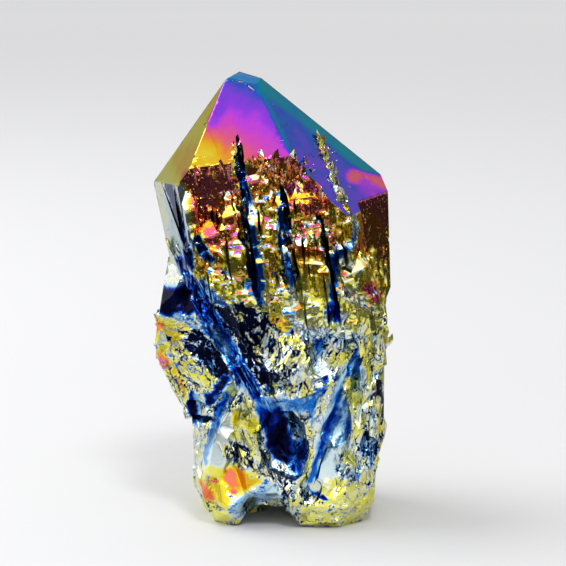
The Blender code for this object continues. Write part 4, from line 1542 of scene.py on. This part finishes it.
def lay_floor():
    """A wide flat disc for the stone to stand on."""
    bm = bmesh.new()
    bmesh.ops.create_circle(bm, cap_ends=True, radius=FLOOR_RADIUS, segments=FLOOR_SIDES)
    floor = object_of(bm, "floor")
    bpy.context.scene.collection.objects.link(floor)
    floor.data.materials.append(floor_material())


# The room's light by direction, over a little from all round: (start, full, strength).
ROOM_LIGHT = 0.03
ROOM = {
    "top": (0.45, 0.80, 1.0),
    "sides": (0.55, 0.80, 0.45),
    "back": (0.3, 0.7, 0.40),
    "front": (-0.3, -0.8, 0.95),
}
BACKDROP = 0.60
# The lamps, in metres and watts: (name, place, target, size, power).
LAMPS = (
    ("key", (-0.34, 0.10, 0.42), (0, 0, 0.02), 0.5, 2.4),
    ("front", (0.10, -0.42, 0.60), (0, 0, 0.03), 0.16, 2.0),
)
CLIPS = (0.01, 20.0)


def light(name, place, target, size, watts):
    """A round lamp that the camera doesn't see."""
    data = bpy.data.lights.new(name, "AREA")
    data.shape = "DISK"
    data.size = size
    data.energy = watts
    ob = bpy.data.objects.new(name, data)
    ob.location = place
    ob.rotation_euler = (Vector(target) - Vector(place)).to_track_quat("-Z", "Y").to_euler()
    ob.visible_camera = False
    bpy.context.scene.collection.objects.link(ob)


def studio():
    """A room with soft light by direction, a plain backdrop and the lamps."""
    world = bpy.data.worlds.new("studio")
    bpy.context.scene.world = world
    world.use_nodes = True
    world.node_tree.nodes.clear()
    make = Nodes(world.node_tree)
    across, depth, height = make.parts(make.place("Generated"))
    ways = {"top": height, "sides": make.sum("ABSOLUTE", across), "back": depth, "front": depth}
    glow = ROOM_LIGHT
    for name, (start, full, strength) in ROOM.items():
        glow = make.line(make.ranged(ways[name], start, full), strength, glow)
    white = (1, 1, 1, 1)
    room = make.add("ShaderNodeBackground", {"Strength": glow, "Color": white}).outputs[0]
    pale = make.add("ShaderNodeBackground", {"Strength": BACKDROP, "Color": white}).outputs[0]
    seen = make.add("ShaderNodeLightPath").outputs["Is Camera Ray"]
    mixed = make.add("ShaderNodeMixShader", {0: seen, 1: room, 2: pale}).outputs[0]
    make.add("ShaderNodeOutputWorld", {"Surface": mixed})
    for lamp in LAMPS:
        light(*lamp)


def set_camera():
    """The photograph's camera."""
    scene = bpy.context.scene
    data = bpy.data.cameras.new("camera")
    data.sensor_width = SENSOR
    data.lens = LENS
    data.shift_x, data.shift_y = SHIFT
    data.clip_start, data.clip_end = CLIPS
    camera = bpy.data.objects.new("camera", data)
    scene.collection.objects.link(camera)
    back = facing(0, CAMERA_RISE)
    camera.location = (CAMERA_AIM + back * CAMERA_AWAY) * MM
    camera.rotation_euler = (-back).to_track_quat("-Z", "Y").to_euler()
    scene.camera = camera
    scene.view_settings.view_transform = "Standard"


dress()
lay_floor()
studio()
set_camera()
